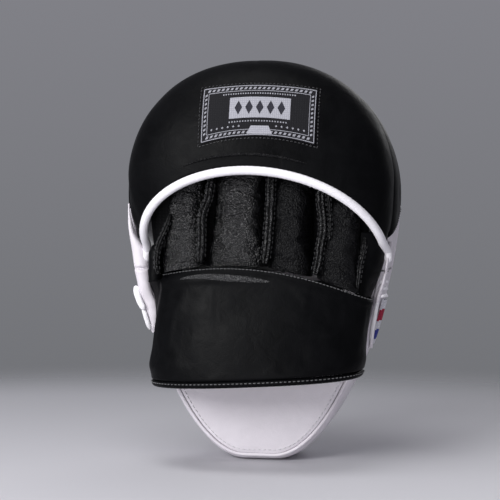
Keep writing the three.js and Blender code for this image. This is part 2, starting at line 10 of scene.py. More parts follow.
import bpy
from mathutils import Vector, noise
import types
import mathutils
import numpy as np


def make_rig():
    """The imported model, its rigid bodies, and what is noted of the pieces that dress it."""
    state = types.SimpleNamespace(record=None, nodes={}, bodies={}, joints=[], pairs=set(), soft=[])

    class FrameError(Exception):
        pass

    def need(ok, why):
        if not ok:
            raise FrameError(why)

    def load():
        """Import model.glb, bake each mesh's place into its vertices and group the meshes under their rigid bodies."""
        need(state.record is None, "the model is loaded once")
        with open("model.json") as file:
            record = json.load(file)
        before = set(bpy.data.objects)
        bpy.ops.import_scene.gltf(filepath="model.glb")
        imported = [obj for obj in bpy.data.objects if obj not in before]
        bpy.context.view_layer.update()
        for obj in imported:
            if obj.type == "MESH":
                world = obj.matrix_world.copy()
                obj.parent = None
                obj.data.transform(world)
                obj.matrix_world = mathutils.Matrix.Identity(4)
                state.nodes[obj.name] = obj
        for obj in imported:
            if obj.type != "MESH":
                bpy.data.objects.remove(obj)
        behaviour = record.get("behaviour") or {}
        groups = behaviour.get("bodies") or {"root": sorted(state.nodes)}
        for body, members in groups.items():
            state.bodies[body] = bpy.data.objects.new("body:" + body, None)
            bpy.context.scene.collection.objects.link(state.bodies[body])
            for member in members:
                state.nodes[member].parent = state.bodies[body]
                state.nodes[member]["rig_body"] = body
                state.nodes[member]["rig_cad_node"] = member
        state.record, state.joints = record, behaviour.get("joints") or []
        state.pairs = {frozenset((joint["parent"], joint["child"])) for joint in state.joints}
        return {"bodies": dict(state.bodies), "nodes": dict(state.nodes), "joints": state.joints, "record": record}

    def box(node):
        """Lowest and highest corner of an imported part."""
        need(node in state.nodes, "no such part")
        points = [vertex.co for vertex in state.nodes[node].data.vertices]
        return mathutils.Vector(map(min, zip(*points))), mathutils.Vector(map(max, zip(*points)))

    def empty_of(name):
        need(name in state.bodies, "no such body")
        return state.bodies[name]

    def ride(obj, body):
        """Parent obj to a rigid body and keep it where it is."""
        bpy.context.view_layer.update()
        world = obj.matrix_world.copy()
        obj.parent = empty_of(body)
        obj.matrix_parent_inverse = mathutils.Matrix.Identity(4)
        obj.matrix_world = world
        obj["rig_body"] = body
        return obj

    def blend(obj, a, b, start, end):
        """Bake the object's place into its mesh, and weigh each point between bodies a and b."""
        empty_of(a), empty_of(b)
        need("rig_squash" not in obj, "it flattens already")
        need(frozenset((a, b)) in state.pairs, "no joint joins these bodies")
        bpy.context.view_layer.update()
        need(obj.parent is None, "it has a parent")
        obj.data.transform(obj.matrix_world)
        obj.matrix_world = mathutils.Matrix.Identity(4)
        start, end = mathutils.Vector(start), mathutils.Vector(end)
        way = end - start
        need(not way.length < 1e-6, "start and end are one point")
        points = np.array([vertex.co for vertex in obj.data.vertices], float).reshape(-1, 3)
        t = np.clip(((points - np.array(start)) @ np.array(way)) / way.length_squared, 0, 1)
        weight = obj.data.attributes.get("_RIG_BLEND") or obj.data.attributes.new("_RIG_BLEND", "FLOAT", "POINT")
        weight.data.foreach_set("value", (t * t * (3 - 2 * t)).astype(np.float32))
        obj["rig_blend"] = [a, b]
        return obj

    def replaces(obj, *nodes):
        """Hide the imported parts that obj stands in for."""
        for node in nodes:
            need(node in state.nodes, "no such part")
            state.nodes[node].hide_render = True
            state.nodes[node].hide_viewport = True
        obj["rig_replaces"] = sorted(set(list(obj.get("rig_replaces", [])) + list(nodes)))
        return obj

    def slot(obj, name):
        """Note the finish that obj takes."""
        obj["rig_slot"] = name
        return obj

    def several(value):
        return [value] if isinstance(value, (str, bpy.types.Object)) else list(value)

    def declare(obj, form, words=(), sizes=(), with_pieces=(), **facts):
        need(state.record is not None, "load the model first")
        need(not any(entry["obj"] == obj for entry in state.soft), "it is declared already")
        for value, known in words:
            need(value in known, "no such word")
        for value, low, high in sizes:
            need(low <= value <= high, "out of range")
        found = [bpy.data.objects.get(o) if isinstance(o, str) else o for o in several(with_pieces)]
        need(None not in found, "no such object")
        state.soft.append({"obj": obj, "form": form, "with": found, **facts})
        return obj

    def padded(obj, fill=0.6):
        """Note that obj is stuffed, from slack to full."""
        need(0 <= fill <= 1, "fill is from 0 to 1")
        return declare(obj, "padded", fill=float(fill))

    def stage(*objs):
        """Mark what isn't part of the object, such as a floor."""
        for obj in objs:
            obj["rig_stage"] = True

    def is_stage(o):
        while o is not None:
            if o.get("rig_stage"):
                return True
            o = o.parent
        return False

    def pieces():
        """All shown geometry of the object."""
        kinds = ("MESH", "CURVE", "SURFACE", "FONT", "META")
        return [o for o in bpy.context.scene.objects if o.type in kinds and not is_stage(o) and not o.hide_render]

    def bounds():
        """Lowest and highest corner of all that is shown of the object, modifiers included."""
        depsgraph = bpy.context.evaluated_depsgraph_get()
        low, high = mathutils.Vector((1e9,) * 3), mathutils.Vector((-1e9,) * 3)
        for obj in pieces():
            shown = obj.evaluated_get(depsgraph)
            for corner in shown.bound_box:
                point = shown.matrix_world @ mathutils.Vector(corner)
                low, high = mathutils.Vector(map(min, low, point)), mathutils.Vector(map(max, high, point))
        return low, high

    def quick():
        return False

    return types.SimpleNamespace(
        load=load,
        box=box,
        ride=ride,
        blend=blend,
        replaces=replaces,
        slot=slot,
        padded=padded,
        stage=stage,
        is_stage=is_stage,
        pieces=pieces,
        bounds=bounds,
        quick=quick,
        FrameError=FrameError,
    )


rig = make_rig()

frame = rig.load()
cad_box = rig.bounds()

# ---------------------------------------------------------------- driving dimensions, in millimetres
MM = 0.001
BACK_FACE_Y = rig.box("palm_back_panel")[0].y  # the pad's back face in the row frame, in metres

LENGTH = 272
HALF_WIDTH = 94
WIDEST_AT = 185
THICKNESS = 45
FOOT_HALF = 10
CURL_FROM = 120
CURL_RADIUS = 520
CURL_DEPTH = 20
CREASE = 131
SIDE_HANDLE = 65
HEEL_HANDLE = 48
TOP_POWER = 2 / 2.2
TOP_END = math.radians(86)

LEATHER = 2.5
PIPING_R = 2.4
PIPING_Y = THICKNESS - 1.7
HEEL_IN = 5.6
BACK_PIPING_R = 1.2
BINDING_R = 3

HOOD_FOOT = 148
HOOD_HALF = 82
HOOD_SKEW = (5, -3)
HOOD_RISE = 45.5
HOOD_FOOT_Y = -2
HOOD_STANDOFF = 42
HOOD_STANDOFF_POWER = 0.55
HOOD_SPREAD = 0.9
HOOD_ROUNDNESS = 2 / 2.8
HOOD_RIM_Y = LEATHER - 0.1
HOOD_RIM_IN = {-1: (8.6, 3.6, 1.6), 1: (3.0, 2.0, 1.4)}  # how far inside the planform: foot, shoulder, top
HOOD_RIM_FADE, HOOD_RIM_FADE_TOP = (148, 172), (178, 200)
HOOD_FLAT_TOP = 0.12  # the share of a turn, in radians, that each half of the rim's flat top takes

SEAM_TOP, SEAM_BOW, SEAM_MIDDLE = 136, 0.0022, -15  # the knuckle seam's arch
CUFF_BOTTOM, CUFF_SLOPE = 61.3, 0.057

STALL_Y = -18
STALL_DEPTH = 16
STALLS = {"index": (-64, -32, 204), "middle": (-32, 8, 212), "ring": (8, 41, 208), "little": (41, 73, 181)}
WELT = 2.8
WELT_RUN, WELT_SINK = 75, 5.9  # above the seam, the welts' crests sink by this much over that length
THUMB_X, THUMB_HALF, THUMB_Y, THUMB_DEPTH, THUMB_TIP = -68.6, 5.2, -13.5, 12.5, 149


# ---------------------------------------------------------------- small maths
def lerp(a, b, t):
    return a + (b - a) * t


def smooth(x, low, high):
    t = min(1, max(0, (x - low) / (high - low)))
    return t * t * (3 - 2 * t)


def bell(x, centre, width):
    """1 at the centre, falling to nearly 0 at two widths from it."""
    return math.exp(-(((x - centre) / width) ** 2))


def bisect(low, high, too_low, steps=30):
    """The place between low and high where too_low() turns false."""
    for _ in range(steps):
        middle = (low + high) / 2
        low, high = (middle, high) if too_low(middle) else (low, middle)
    return low


def power(value, exponent):
    return math.copysign(abs(value) ** exponent, value)


def seam_at(x):
    """The s of the knuckle seam."""
    return SEAM_TOP - SEAM_BOW * (x - SEAM_MIDDLE) ** 2


def cuff_bottom_at(x):
    """The s of the cuff's lower edge."""
    return CUFF_BOTTOM + CUFF_SLOPE * x


def bend(x, y, s):
    """Curls a flat point into place."""
    if s <= CURL_FROM:
        return Vector((x, y, s))
    angle = (s - CURL_FROM) / CURL_RADIUS
    radius = CURL_RADIUS - (y - CURL_DEPTH)
    y = CURL_DEPTH + CURL_RADIUS - radius * math.cos(angle)
    return Vector((x, y, CURL_FROM + radius * math.sin(angle)))


def ripple(x, y, z, size, seed=0):
    """Smooth noise from -1 to 1 with features of about that size, in millimetres."""
    return noise.noise(Vector((x / size + 17.3 * seed, y / size, z / size)))


# ---------------------------------------------------------------- the pad's planform
def edge(q):
    """The right half of the planform, q from 0 at the foot to 1 at the top, as (x, s)."""
    if q < 0.5:
        t = 1 - 2 * q
        a, b, c = (1 - t) ** 3, 3 * (1 - t) ** 2 * t, 3 * (1 - t) * t ** 2
        x = HALF_WIDTH * (a + b) + (FOOT_HALF + HEEL_HANDLE) * c + FOOT_HALF * t ** 3
        return x, WIDEST_AT * a + (WIDEST_AT - SIDE_HANDLE) * b
    angle = (2 * q - 1) * TOP_END
    x = HALF_WIDTH * math.cos(angle) ** TOP_POWER
    return x, WIDEST_AT + (LENGTH - WIDEST_AT) * math.sin(angle) ** TOP_POWER


def rim(q, inset):
    """The planform moved inwards, as (x, s)."""
    step = 1e-3
    x0, s0 = edge(max(0, q - step))
    x1, s1 = edge(min(1, q + step))
    size = math.hypot(x1 - x0, s1 - s0)
    x, s = edge(q)
    return x - inset * (s1 - s0) / size, s + inset * (x1 - x0) / size


def level_of(s):
    """The q where the planform reaches the level s."""
    return bisect(0, 1, lambda q: edge(q)[1] < s, 40)


def even_levels(count):
    """q values whose points lie evenly along the planform."""
    steps = 600
    fine = [i / steps for i in range(steps + 1)]
    places = [edge(q) for q in fine]
    run = [0]
    for a, b in zip(places, places[1:]):
        run.append(run[-1] + math.dist(a, b))
    found, k = [], 0
    for i in range(count + 1):
        want = run[-1] * i / count
        while k < steps - 1 and run[k + 1] < want:
            k += 1
        share = (want - run[k]) / (run[k + 1] - run[k])
        found.append(lerp(fine[k], fine[k + 1], min(1, share)))
    return found


def stations(count):
    """Once round the planform from the foot's middle, as (q, side): side is -1 at left, 1 at right, and in
    between along the short flats at the foot and the top."""
    flat = 4
    right = even_levels(count)
    foot = [(0, i / flat) for i in range(flat)]
    top = [(1, 1 - i / flat) for i in range(1, 2 * flat)]
    left = [(q, -1) for q in reversed(right)]
    return foot + [(q, 1) for q in right] + top + left + [(0, -i / flat) for i in range(flat - 1, 0, -1)]


HOOD_FOOT_Q = level_of(HOOD_FOOT)
BACK_ROUND_Y, BACK_ROUND = 14, 11.4  # the gusset turns in below this y, over this length
FRONT_ROUND_Y, FRONT_ROUND = 36, 4.6  # and above this one


def skin_inset(y, s):
    """How far the gusset's outside lies inside the planform: round at the back, and a little at the front."""
    back = lerp(3.6, 4.8, smooth(s, 30, 70)) - 3.0 * smooth(s, 140, 190)
    down = max(0, (BACK_ROUND_Y - y) / BACK_ROUND)
    front = max(0, (y - FRONT_ROUND_Y) / FRONT_ROUND)
    return back * (1 - math.sqrt(max(0, 1 - down * down))) + 0.8 * front * front


# ---------------------------------------------------------------- making meshes
def mesh_piece(name, points, faces, material, body=None, slot=None, smooth_shade=True):
    """A piece from points in curled millimetres."""
    mesh = bpy.data.meshes.new(name)
    mesh.from_pydata([(p[0] * MM, p[1] * MM + BACK_FACE_Y, p[2] * MM) for p in points], [], faces)
    mesh.validate()
    mesh.materials.append(material)
    if smooth_shade:
        mesh.polygons.foreach_set("use_smooth", [True] * len(mesh.polygons))
    made = bpy.data.objects.new(name, mesh)
    bpy.context.scene.collection.objects.link(made)
    if slot:
        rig.slot(made, slot)
    if body:
        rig.ride(made, body)
    return made


def sheet_grid(place, nu, nv, around=False):
    """Points and faces of a sheet whose point (u, v) is place(u, v); around joins u = 1 to u = 0."""
    columns = nu if around else nu + 1
    points = [place(i / nu, j / nv) for j in range(nv + 1) for i in range(columns)]
    faces = []
    for j in range(nv):
        for i in range(nu):
            a, b = j * columns + i, j * columns + (i + 1) % columns
            faces.append((a, b, b + columns, a + columns))
    return points, faces


def outward_normals(piece):
    """True where the piece's normals point away from its middle."""
    middle = sum((v.co for v in piece.data.vertices), Vector()) / len(piece.data.vertices)
    total = sum(f.normal.dot(f.center - middle) * f.area for f in piece.data.polygons)
    return total > 0


def capped_tube(place, sides, levels):
    """A tube whose ring at v is place(u, v), closed at v = 1 by a fan."""
    points, faces = sheet_grid(place, sides, levels, around=True)
    points.append(sum(points[-sides:], Vector()) / sides)
    last = levels * sides
    faces += [(last + j, last + (j + 1) % sides, len(points) - 1) for j in range(sides)]
    return points, faces


def lathe(profile, sides, place, outward=True):
    """Rings of place(radius, height, turn) over the profile's (radius, height) pairs."""
    points = [place(r, h, 2 * math.pi * j / sides) for r, h in profile for j in range(sides)]
    faces = []
    for i in range(len(profile) - 1):
        for j in range(sides):
            a, b = i * sides + j, i * sides + (j + 1) % sides
            faces.append((a, b, b + sides, a + sides) if outward else (a, a + sides, b + sides, b))
    return points, faces


def solidify(piece, thickness):
    """Gives a sheet its thickness, on the side towards its middle, and rounds its edges."""
    thick = piece.modifiers.new("thickness", "SOLIDIFY")
    thick.thickness = thickness * MM
    thick.offset = -1 if outward_normals(piece) else 1
    thick.use_even_offset = False
    return refine(piece)


def refine(piece):
    finer = piece.modifiers.new("subdivision", "SUBSURF")
    finer.levels = finer.render_levels = 1
    return piece


def puff(piece, sewn, growth, cap, pressure=4.0):
    """Cloth simulation of a padded piece before it gets its thickness: the vertices for which sewn() is true
    stay put, the rest grows by that share and is blown out, and no point moves further than cap mm."""
    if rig.quick():
        return
    frames = 20
    held = piece.vertex_groups.new(name="sewn")
    held.add([v.index for v in piece.data.vertices if sewn(v.index)], 1.0, "REPLACE")
    cloth = piece.modifiers.new("cloth", "CLOTH")
    settings = cloth.settings
    settings.quality = 5
    settings.vertex_group_mass = held.name
    settings.use_pressure = True
    settings.uniform_pressure_force = pressure
    settings.shrink_min = -growth
    settings.effector_weights.gravity = 0
    cloth.collision_settings.use_collision = False
    for step in range(1, frames + 1):
        bpy.context.scene.frame_set(step)
    blown = piece.evaluated_get(bpy.context.evaluated_depsgraph_get())
    ends = [v.co.copy() for v in blown.data.vertices]
    piece.modifiers.remove(cloth)
    piece.vertex_groups.remove(held)
    bpy.context.scene.frame_set(1)
    for vertex, end in zip(piece.data.vertices, ends):
        step = end - vertex.co
        vertex.co += step * min(1, cap * MM / max(1e-9, step.length))


def block_grid(place, nu, nv, nw):
    """Points and faces of a closed body whose point (u, v, w) is place(u, v, w)."""
    points, index, faces = [], {}, []

    def at(i, j, k):
        if (i, j, k) not in index:
            index[i, j, k] = len(points)
            points.append(place(i / nu, j / nv, k / nw))
        return index[i, j, k]

    for k in (0, nw):
        for i in range(nu):
            for j in range(nv):
                quad = (at(i, j, k), at(i + 1, j, k), at(i + 1, j + 1, k), at(i, j + 1, k))
                faces.append(quad if k else quad[::-1])
    for j in (0, nv):
        for i in range(nu):
            for k in range(nw):
                quad = (at(i, j, k), at(i + 1, j, k), at(i + 1, j, k + 1), at(i, j, k + 1))
                faces.append(quad[::-1] if j else quad)
    for i in (0, nu):
        for j in range(nv):
            for k in range(nw):
                quad = (at(i, j, k), at(i, j + 1, k), at(i, j + 1, k + 1), at(i, j, k + 1))
                faces.append(quad if i else quad[::-1])
    if signed_volume(points, faces) < 0:
        faces = [f[::-1] for f in faces]
    return points, faces


def signed_volume(points, faces):
    total = 0
    for face in faces:
        a = Vector(points[face[0]])
        for b, c in zip(face[1:], face[2:]):
            total += a.dot(Vector(points[b]).cross(Vector(points[c])))
    return total


def runs(points):
    """The length of a polyline up to each of its points."""
    run = [0]
    for a, b in zip(points, points[1:]):
        run.append(run[-1] + (b - a).length)
    return run


def resample(points, pitch):
    """Points along a polyline at an even pitch."""
    run = runs(points)
    count = max(1, round(run[-1] / pitch))
    found, k = [], 0
    for i in range(count + 1):
        want = run[-1] * i / count
        while k < len(points) - 2 and run[k + 1] < want:
            k += 1
        found.append(points[k].lerp(points[k + 1], min(1, (want - run[k]) / max(1e-9, run[k + 1] - run[k]))))
    return found


def sweep(points, section, closed=False):
    """Points and faces of a tube: section(t) gives the cross-section as (across, out) pairs. The frame is
    carried along the path, and its first 'out' is the direction nearest to -Y."""
    n = len(points)
    rings, out = [], Vector((0, -1, 0))
    for i, p in enumerate(points):
        before = points[i - 1] if i or closed else p
        after = points[(i + 1) % n] if i + 1 < n or closed else p
        ahead = (after - before).normalized()
        out = (out - ahead * out.dot(ahead)).normalized()
        across = ahead.cross(out)
        rings.append([p + across * a + out * o for a, o in section(i / (n - 1))])
    size = len(rings[0])
    made = [p for ring in rings for p in ring]
    faces = []
    for i in range(n if closed else n - 1):
        for j in range(size):
            a, b = i * size + j, i * size + (j + 1) % size
            c, d = ((i + 1) % n) * size + (j + 1) % size, ((i + 1) % n) * size + j
            faces.append((a, d, c, b))
    if not closed:
        faces.append(tuple(range(size)))
        faces.append(tuple((n - 1) * size + j for j in reversed(range(size))))
    return made, faces


def round_section(radius, sides=14, flat=1.0):
    return [
        (radius * math.cos(2 * math.pi * j / sides), radius * flat * math.sin(2 * math.pi * j / sides))
        for j in range(sides)
    ]


def closing_section(radius, sides, flat, least, exponent=2):
    """An oval section for a sweep whose ends close; least is the smallest share of its area."""
    def section(t):
        size = math.sqrt(max(least, 1 - (2 * t - 1) ** exponent))
        return [(a * size, o * size) for a, o in round_section(radius, sides, flat)]

    return section


def tube(name, points, radius, material, body=None, slot=None, sides=14, closed=False, pucker=0.0):
    """A leather roll with rounded ends, whose skin puckers a little along its length."""
    pitch = 1.5
    path = points if closed else resample(points, pitch)
    n = len(path)
    tip = max(1, round(radius / pitch)) if not closed else 0

    def section(t):
        i = t * (n - 1)
        end = min(i, n - 1 - i)
        shrink = math.sqrt(max(0.06, 1 - (1 - end / tip) ** 2)) if tip and end < tip else 1
        wave = 1 + pucker * math.sin(i * pitch * 2.4 + 1.7 * math.sin(i * 0.31))
        return round_section(radius * shrink * wave, sides)

    made, faces = sweep(path, section, closed)
    return mesh_piece(name, made, faces, material, body, slot)


def stitches(name, paths, material, body=None, slot=None, pitch=3.4, length=2.5, radius=0.33, lift=0.1):
    """Rows of thread stitches: each is a short arch whose ends dip into the leather. A path is a list of
    (point, normal)."""
    points, faces = [], []
    rings, sides = 7, 6
    for path in paths:
        spots, normals = zip(*path)
        run = runs(spots)

        def at(want):
            k = 0
            while k < len(spots) - 2 and run[k + 1] < want:
                k += 1
            share = min(1, max(0, (want - run[k]) / max(1e-9, run[k + 1] - run[k])))
            return spots[k].lerp(spots[k + 1], share), normals[k].lerp(normals[k + 1], share).normalized()

        count = max(1, int(run[-1] / pitch))
        for i in range(count):
            middle = run[-1] * (i + 0.5) / count
            centre, normal = at(middle)
            ahead = (at(middle + length / 2)[0] - at(middle - length / 2)[0]).normalized()
            side = ahead.cross(normal).normalized()
            first = len(points)
            for k in range(rings):
                t = k / (rings - 1) * 2 - 1
                size = radius * math.sqrt(max(0.05, 1 - t ** 4))
                high = lift + radius * (0.9 - 1.6 * t ** 4)
                p = centre + ahead * (t * length / 2) + normal * high
                for j in range(sides):
                    turn = 2 * math.pi * j / sides
                    points.append(p + side * (size * math.cos(turn)) + normal * (size * math.sin(turn)))
            last = first + sides * (rings - 1)
            for k in range(first, last, sides):
                for j in range(sides):
                    a, b = k + j, k + (j + 1) % sides
                    faces.append((a, b, b + sides, a + sides))
            faces.append(tuple(first + j for j in reversed(range(sides))))
            faces.append(tuple(last + j for j in range(sides)))
    return mesh_piece(name, points, faces, material, body, slot)


# ---------------------------------------------------------------- materials
def node(tree, kind, inputs=None, **settings):
    """A new shader node. An input is a value or another node's output."""
    made = tree.nodes.new("ShaderNode" + kind)
    for key, value in settings.items():
        setattr(made, key, value)
    for key, value in (inputs or {}).items():
        if isinstance(value, bpy.types.NodeSocket):
            tree.links.new(value, made.inputs[key])
        else:
            made.inputs[key].default_value = value
    return made


def surface(name, **uniform):
    """A new material with its node tree and its Principled shader, whose uniform values are set here."""
    made = bpy.data.materials.new(name)
    made.use_nodes = True
    tree = made.node_tree
    shader = next(n for n in tree.nodes if n.type == "BSDF_PRINCIPLED")
    for key, value in uniform.items():
        shader.inputs[key.replace("_", " ")].default_value = value
    return made, tree, shader


def blend_colour(tree, share, low, high):
    ramp = node(tree, "ValToRGB", {"Fac": share})
    ramp.color_ramp.elements[0].color = (*low, 1)
    ramp.color_ramp.elements[1].color = (*high, 1)
    return ramp


def raise_bump(tree, shader, height, strength, distance):
    bump = node(tree, "Bump", {"Height": height, "Strength": strength, "Distance": distance})
    tree.links.new(bump.outputs[0], shader.inputs["Normal"])


def colour_by(tree, shader, share, low, high):
    tree.links.new(blend_colour(tree, share, low, high).outputs[0], shader.inputs["Base Color"])


def roughen(tree, shader, value, low, high, **span):
    """Roughness from low to high as the value goes over its span, 0 to 1 unless told."""
    inputs = {"Value": value, "To Min": low, "To Max": high}
    inputs.update({key.replace("_", " "): limit for key, limit in span.items()})
    tree.links.new(node(tree, "MapRange", inputs).outputs[0], shader.inputs["Roughness"])


def object_place(tree):
    return node(tree, "TexCoord").outputs["Object"]


def tint(colour, gain):
    return tuple(min(1, c * gain) for c in colour)


def leather(name, colour, roughness, cell=1.0, grain=0.3, crease=0.25, mottle=0.2, worn=1.5, gloss=0.5):
    """Leather: pebbled cells of that size in mm, soft creases, mottled colour, and lighter worn edges."""
    made, tree, shader = surface(name, Specular_IOR_Level=gloss)
    place = object_place(tree)
    warp = node(tree, "TexNoise", {"Vector": place, "Scale": 350.0, "Detail": 2.0})
    offset = node(tree, "VectorMath", {0: warp.outputs["Color"], "Scale": 0.0006}, operation="SCALE")
    warped = node(tree, "VectorMath", {0: place, 1: offset.outputs[0]}, operation="ADD")
    cells = node(tree, "TexVoronoi", {"Vector": warped.outputs[0], "Scale": 1000.0 / cell}, feature="F1")
    fine = node(tree, "TexNoise", {"Vector": place, "Scale": 2200.0 / cell, "Detail": 3.0})
    folds = node(tree, "TexNoise", {"Vector": place, "Scale": 110.0, "Detail": 5.0, "Distortion": 0.8})
    cloud = node(tree, "TexNoise", {"Vector": place, "Scale": 28.0, "Detail": 3.0})
    pebbles = node(tree, "Bump", {"Height": cells.outputs["Distance"], "Strength": grain, "Distance": 0.0004})
    pebbles.invert = True
    pores = node(tree, "Bump", {"Height": fine.outputs["Fac"], "Strength": grain * 0.6, "Distance": 0.0002,
                                "Normal": pebbles.outputs[0]})
    creases = node(tree, "Bump", {"Height": folds.outputs["Fac"], "Strength": crease, "Distance": 0.0025,
                                  "Normal": pores.outputs[0]})
    tree.links.new(creases.outputs[0], shader.inputs["Normal"])
    mixed = node(tree, "Math", {0: cloud.outputs["Fac"], 1: folds.outputs["Fac"]}, operation="ADD")
    share = node(tree, "MapRange", {"Value": mixed.outputs[0], "From Min": 0.75, "From Max": 1.3})
    base = blend_colour(tree, share.outputs[0], tint(colour, 1 - mottle), tint(colour, 1 + mottle))
    edges = node(tree, "MapRange", {"Value": node(tree, "NewGeometry").outputs["Pointiness"],
                                    "From Min": 0.52, "From Max": 0.62})
    worn_mix = node(tree, "Mix", {"A": base.outputs[0], "B": (*tint(colour, worn), 1)}, data_type="RGBA")
    tree.links.new(edges.outputs[0], worn_mix.inputs["Factor"])
    tree.links.new(worn_mix.outputs["Result"], shader.inputs["Base Color"])
    roughen(tree, shader, mixed.outputs[0], roughness - 0.07, roughness + 0.09, From_Min=0.7, From_Max=1.3)
    return made


def woven(name, warp_colour, weft_colour, thread=0.5):
    """Plain weave with threads of that width in mm, over x and z."""
    made, tree, shader = surface(name, Specular_IOR_Level=0.2, Sheen_Weight=0.02)
    place = object_place(tree)
    scale = 500.0 / thread / math.pi * 0.5
    ribs = [node(tree, "TexWave", {"Vector": place, "Scale": scale, "Distortion": 0.4}, bands_direction=axis)
            for axis in ("X", "Z")]
    over = node(tree, "Math", {0: ribs[0].outputs["Fac"], 1: ribs[1].outputs["Fac"]}, operation="MULTIPLY")
    lint = node(tree, "TexNoise", {"Vector": place, "Scale": 1800.0, "Detail": 3.0})
    height = node(tree, "Math", {0: over.outputs[0], 1: lint.outputs["Fac"]}, operation="ADD")
    raise_bump(tree, shader, height.outputs[0], 0.5, 0.0002)
    colour_by(tree, shader, over.outputs[0], weft_colour, warp_colour)
    roughen(tree, shader, lint.outputs["Fac"], 0.7, 0.9)
    return made


def foam(name, colour):
    made, tree, shader = surface(name, Specular_IOR_Level=0.2)
    place = object_place(tree)
    cells = node(tree, "TexVoronoi", {"Vector": place, "Scale": 900.0}, feature="SMOOTH_F1")
    raise_bump(tree, shader, cells.outputs["Distance"], 0.7, 0.0005)
    colour_by(tree, shader, cells.outputs["Distance"], tint(colour, 1.2), tint(colour, 0.7))
    roughen(tree, shader, cells.outputs["Distance"], 0.8, 1.0)
    return made


def thread(name, colour):
    """Twisted sewing thread."""
    made, tree, shader = surface(name, Specular_IOR_Level=0.4, Sheen_Weight=0.3)
    place = object_place(tree)
    plies = node(tree, "TexWave", {"Vector": place, "Scale": 600.0, "Distortion": 1.0},
                 bands_direction="DIAGONAL")
    raise_bump(tree, shader, plies.outputs["Fac"], 0.5, 0.0001)
    colour_by(tree, shader, plies.outputs["Fac"], tint(colour, 0.75), colour)
    roughen(tree, shader, plies.outputs["Fac"], 0.65, 0.45)
    return made


BLACK = leather("black_leather", (0.0027, 0.0028, 0.0033), 0.42, cell=0.8, grain=0.14, crease=0.14,
                gloss=0.045)
GRAINED = leather("grained_leather", (0.005, 0.005, 0.0056), 0.22, cell=1.25, grain=2.4, crease=0.5, worn=2.5,
                  gloss=0.55)
# Painted light: a darker, duller copy of the grained leather. It is painted shade on the ring and little stalls, and a
# painted highlight on the hood's ridge, where it is lighter than the hood's black leather.
GRAINED_PAINTED_LIGHT = leather("grained_leather_painted_light", (0.004, 0.004, 0.0046), 0.33, cell=1.2, grain=1.6, crease=0.4,
                       worn=2.0, gloss=0.11)
# Painted highlight: a leather much lighter than the cuff's black, laid on the cuff's top fold.
HIGHLIGHT_LEATHER = leather("highlight_leather", (0.014, 0.014, 0.0152), 0.25, cell=1.0, grain=1.8, crease=0.3, gloss=0.55)
WHITE = leather("white_leather", (0.74, 0.70, 0.75), 0.5, cell=0.9, grain=0.1, crease=0.12, mottle=0.03,
                worn=1.1)
BINDING = leather("white_binding", (0.86, 0.84, 0.88), 0.45, cell=0.7, grain=0.12, crease=0.1, mottle=0.03,
                  worn=1.1)
LINING = woven("lining", (0.02, 0.02, 0.022), (0.012, 0.012, 0.014), thread=0.6)
LABEL_CLOTH = woven("label_weave", (0.011, 0.011, 0.013), (0.006, 0.006, 0.008), thread=0.4)
LABEL_YARN = woven("label_yarn", (0.42, 0.42, 0.46), (0.3, 0.3, 0.34), thread=0.35)
LABEL_EDGE_YARN = woven("label_edge_yarn", (0.36, 0.36, 0.4), (0.26, 0.26, 0.29), thread=0.35)
LABEL_DARK = woven("label_dark_yarn", (0.03, 0.03, 0.04), (0.02, 0.02, 0.028), thread=0.35)
TAB_CLOTH = woven("tab_weave", (0.72, 0.72, 0.76), (0.6, 0.6, 0.65), thread=0.5)
TAB_RED = woven("tab_weave_red", (0.42, 0.03, 0.06), (0.3, 0.02, 0.05), thread=0.5)
TAB_BLUE = woven("tab_weave_blue", (0.05, 0.06, 0.32), (0.03, 0.04, 0.24), thread=0.5)
FOAM = foam("foam", (0.32, 0.32, 0.33))
BLACK_THREAD = thread("black_thread", (0.02, 0.02, 0.024))
GREY_THREAD = thread("grey_thread", (0.11, 0.11, 0.115))
WHITE_THREAD = thread("white_thread", (0.8, 0.78, 0.82))


# ---------------------------------------------------------------- the pad
RING = stations(140)
CREASE_FROM, CREASE_TO = (0, 0, 0.116), (0, 0, 0.146)  # the leather over the crease bends between these
SIDE_SEAM = 132.5  # the s of the cross seams in the gusset and the bands


def over_crease(piece):
    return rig.blend(piece, "palm", "fingers", start=CREASE_FROM, end=CREASE_TO)


def ring_point(station, inset):
    q, side = station
    x, s = rim(q, inset)
    return side * x, s


def cross_seam(name, points, radius, pitch):
    """A thin seam across the white leather, level with the knuckles: a grey thread laid in the seam's groove, whose
    dark colour is partly a real seam and partly painted shade of the groove.
    """
    made = sweep(resample(points, pitch), lambda t: round_section(radius, 8))
    over_crease(mesh_piece(name, *made, GREY_THREAD, slot="white_leather"))


def gusset():
    """The white side wall, round the whole pad, puckered a little along both seams."""
    back, front = LEATHER + 0.1, THICKNESS - 3.2
    steps = 18

    def place(u, v):
        station = RING[round(u * len(RING)) % len(RING)]
        y = lerp(back, front, v)
        _, level = ring_point(station, 0)
        inset = skin_inset(y, level)
        x, s = ring_point(station, inset)
        seam = bell(v * steps, 0, 1.6) + bell((1 - v) * steps, 0, 1.6)
        pucker = 0.3 * seam * ripple(x, 0, s, 4.5, 2) + 0.3 * ripple(x, y, s, 30, 3) + 0.4
        fold = 0.8 * bell(s, CREASE, 5)
        x, s = ring_point(station, inset + (pucker + fold) * smooth(s, 0, 25))
        return bend(x, y, s)

    piece = mesh_piece("side_gusset", *sheet_grid(place, len(RING), steps, around=True), WHITE,
                       slot="white_leather")
    solidify(piece, LEATHER * 0.8)
    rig.replaces(piece, "palm_side_gusset", "finger_side_gusset")
    over_crease(piece)

    for side, name in ((-1, "thumb_gusset_seam"), (1, "little_gusset_seam")):
        path = []
        for i in range(31):
            y, s = lerp(back, front, i / 30), SIDE_SEAM
            x = rim(level_of(s), skin_inset(y, s) + 0.6)[0]
            path.append(bend(side * x, y, s))
        cross_seam(name, path, 0.5, 0.9)


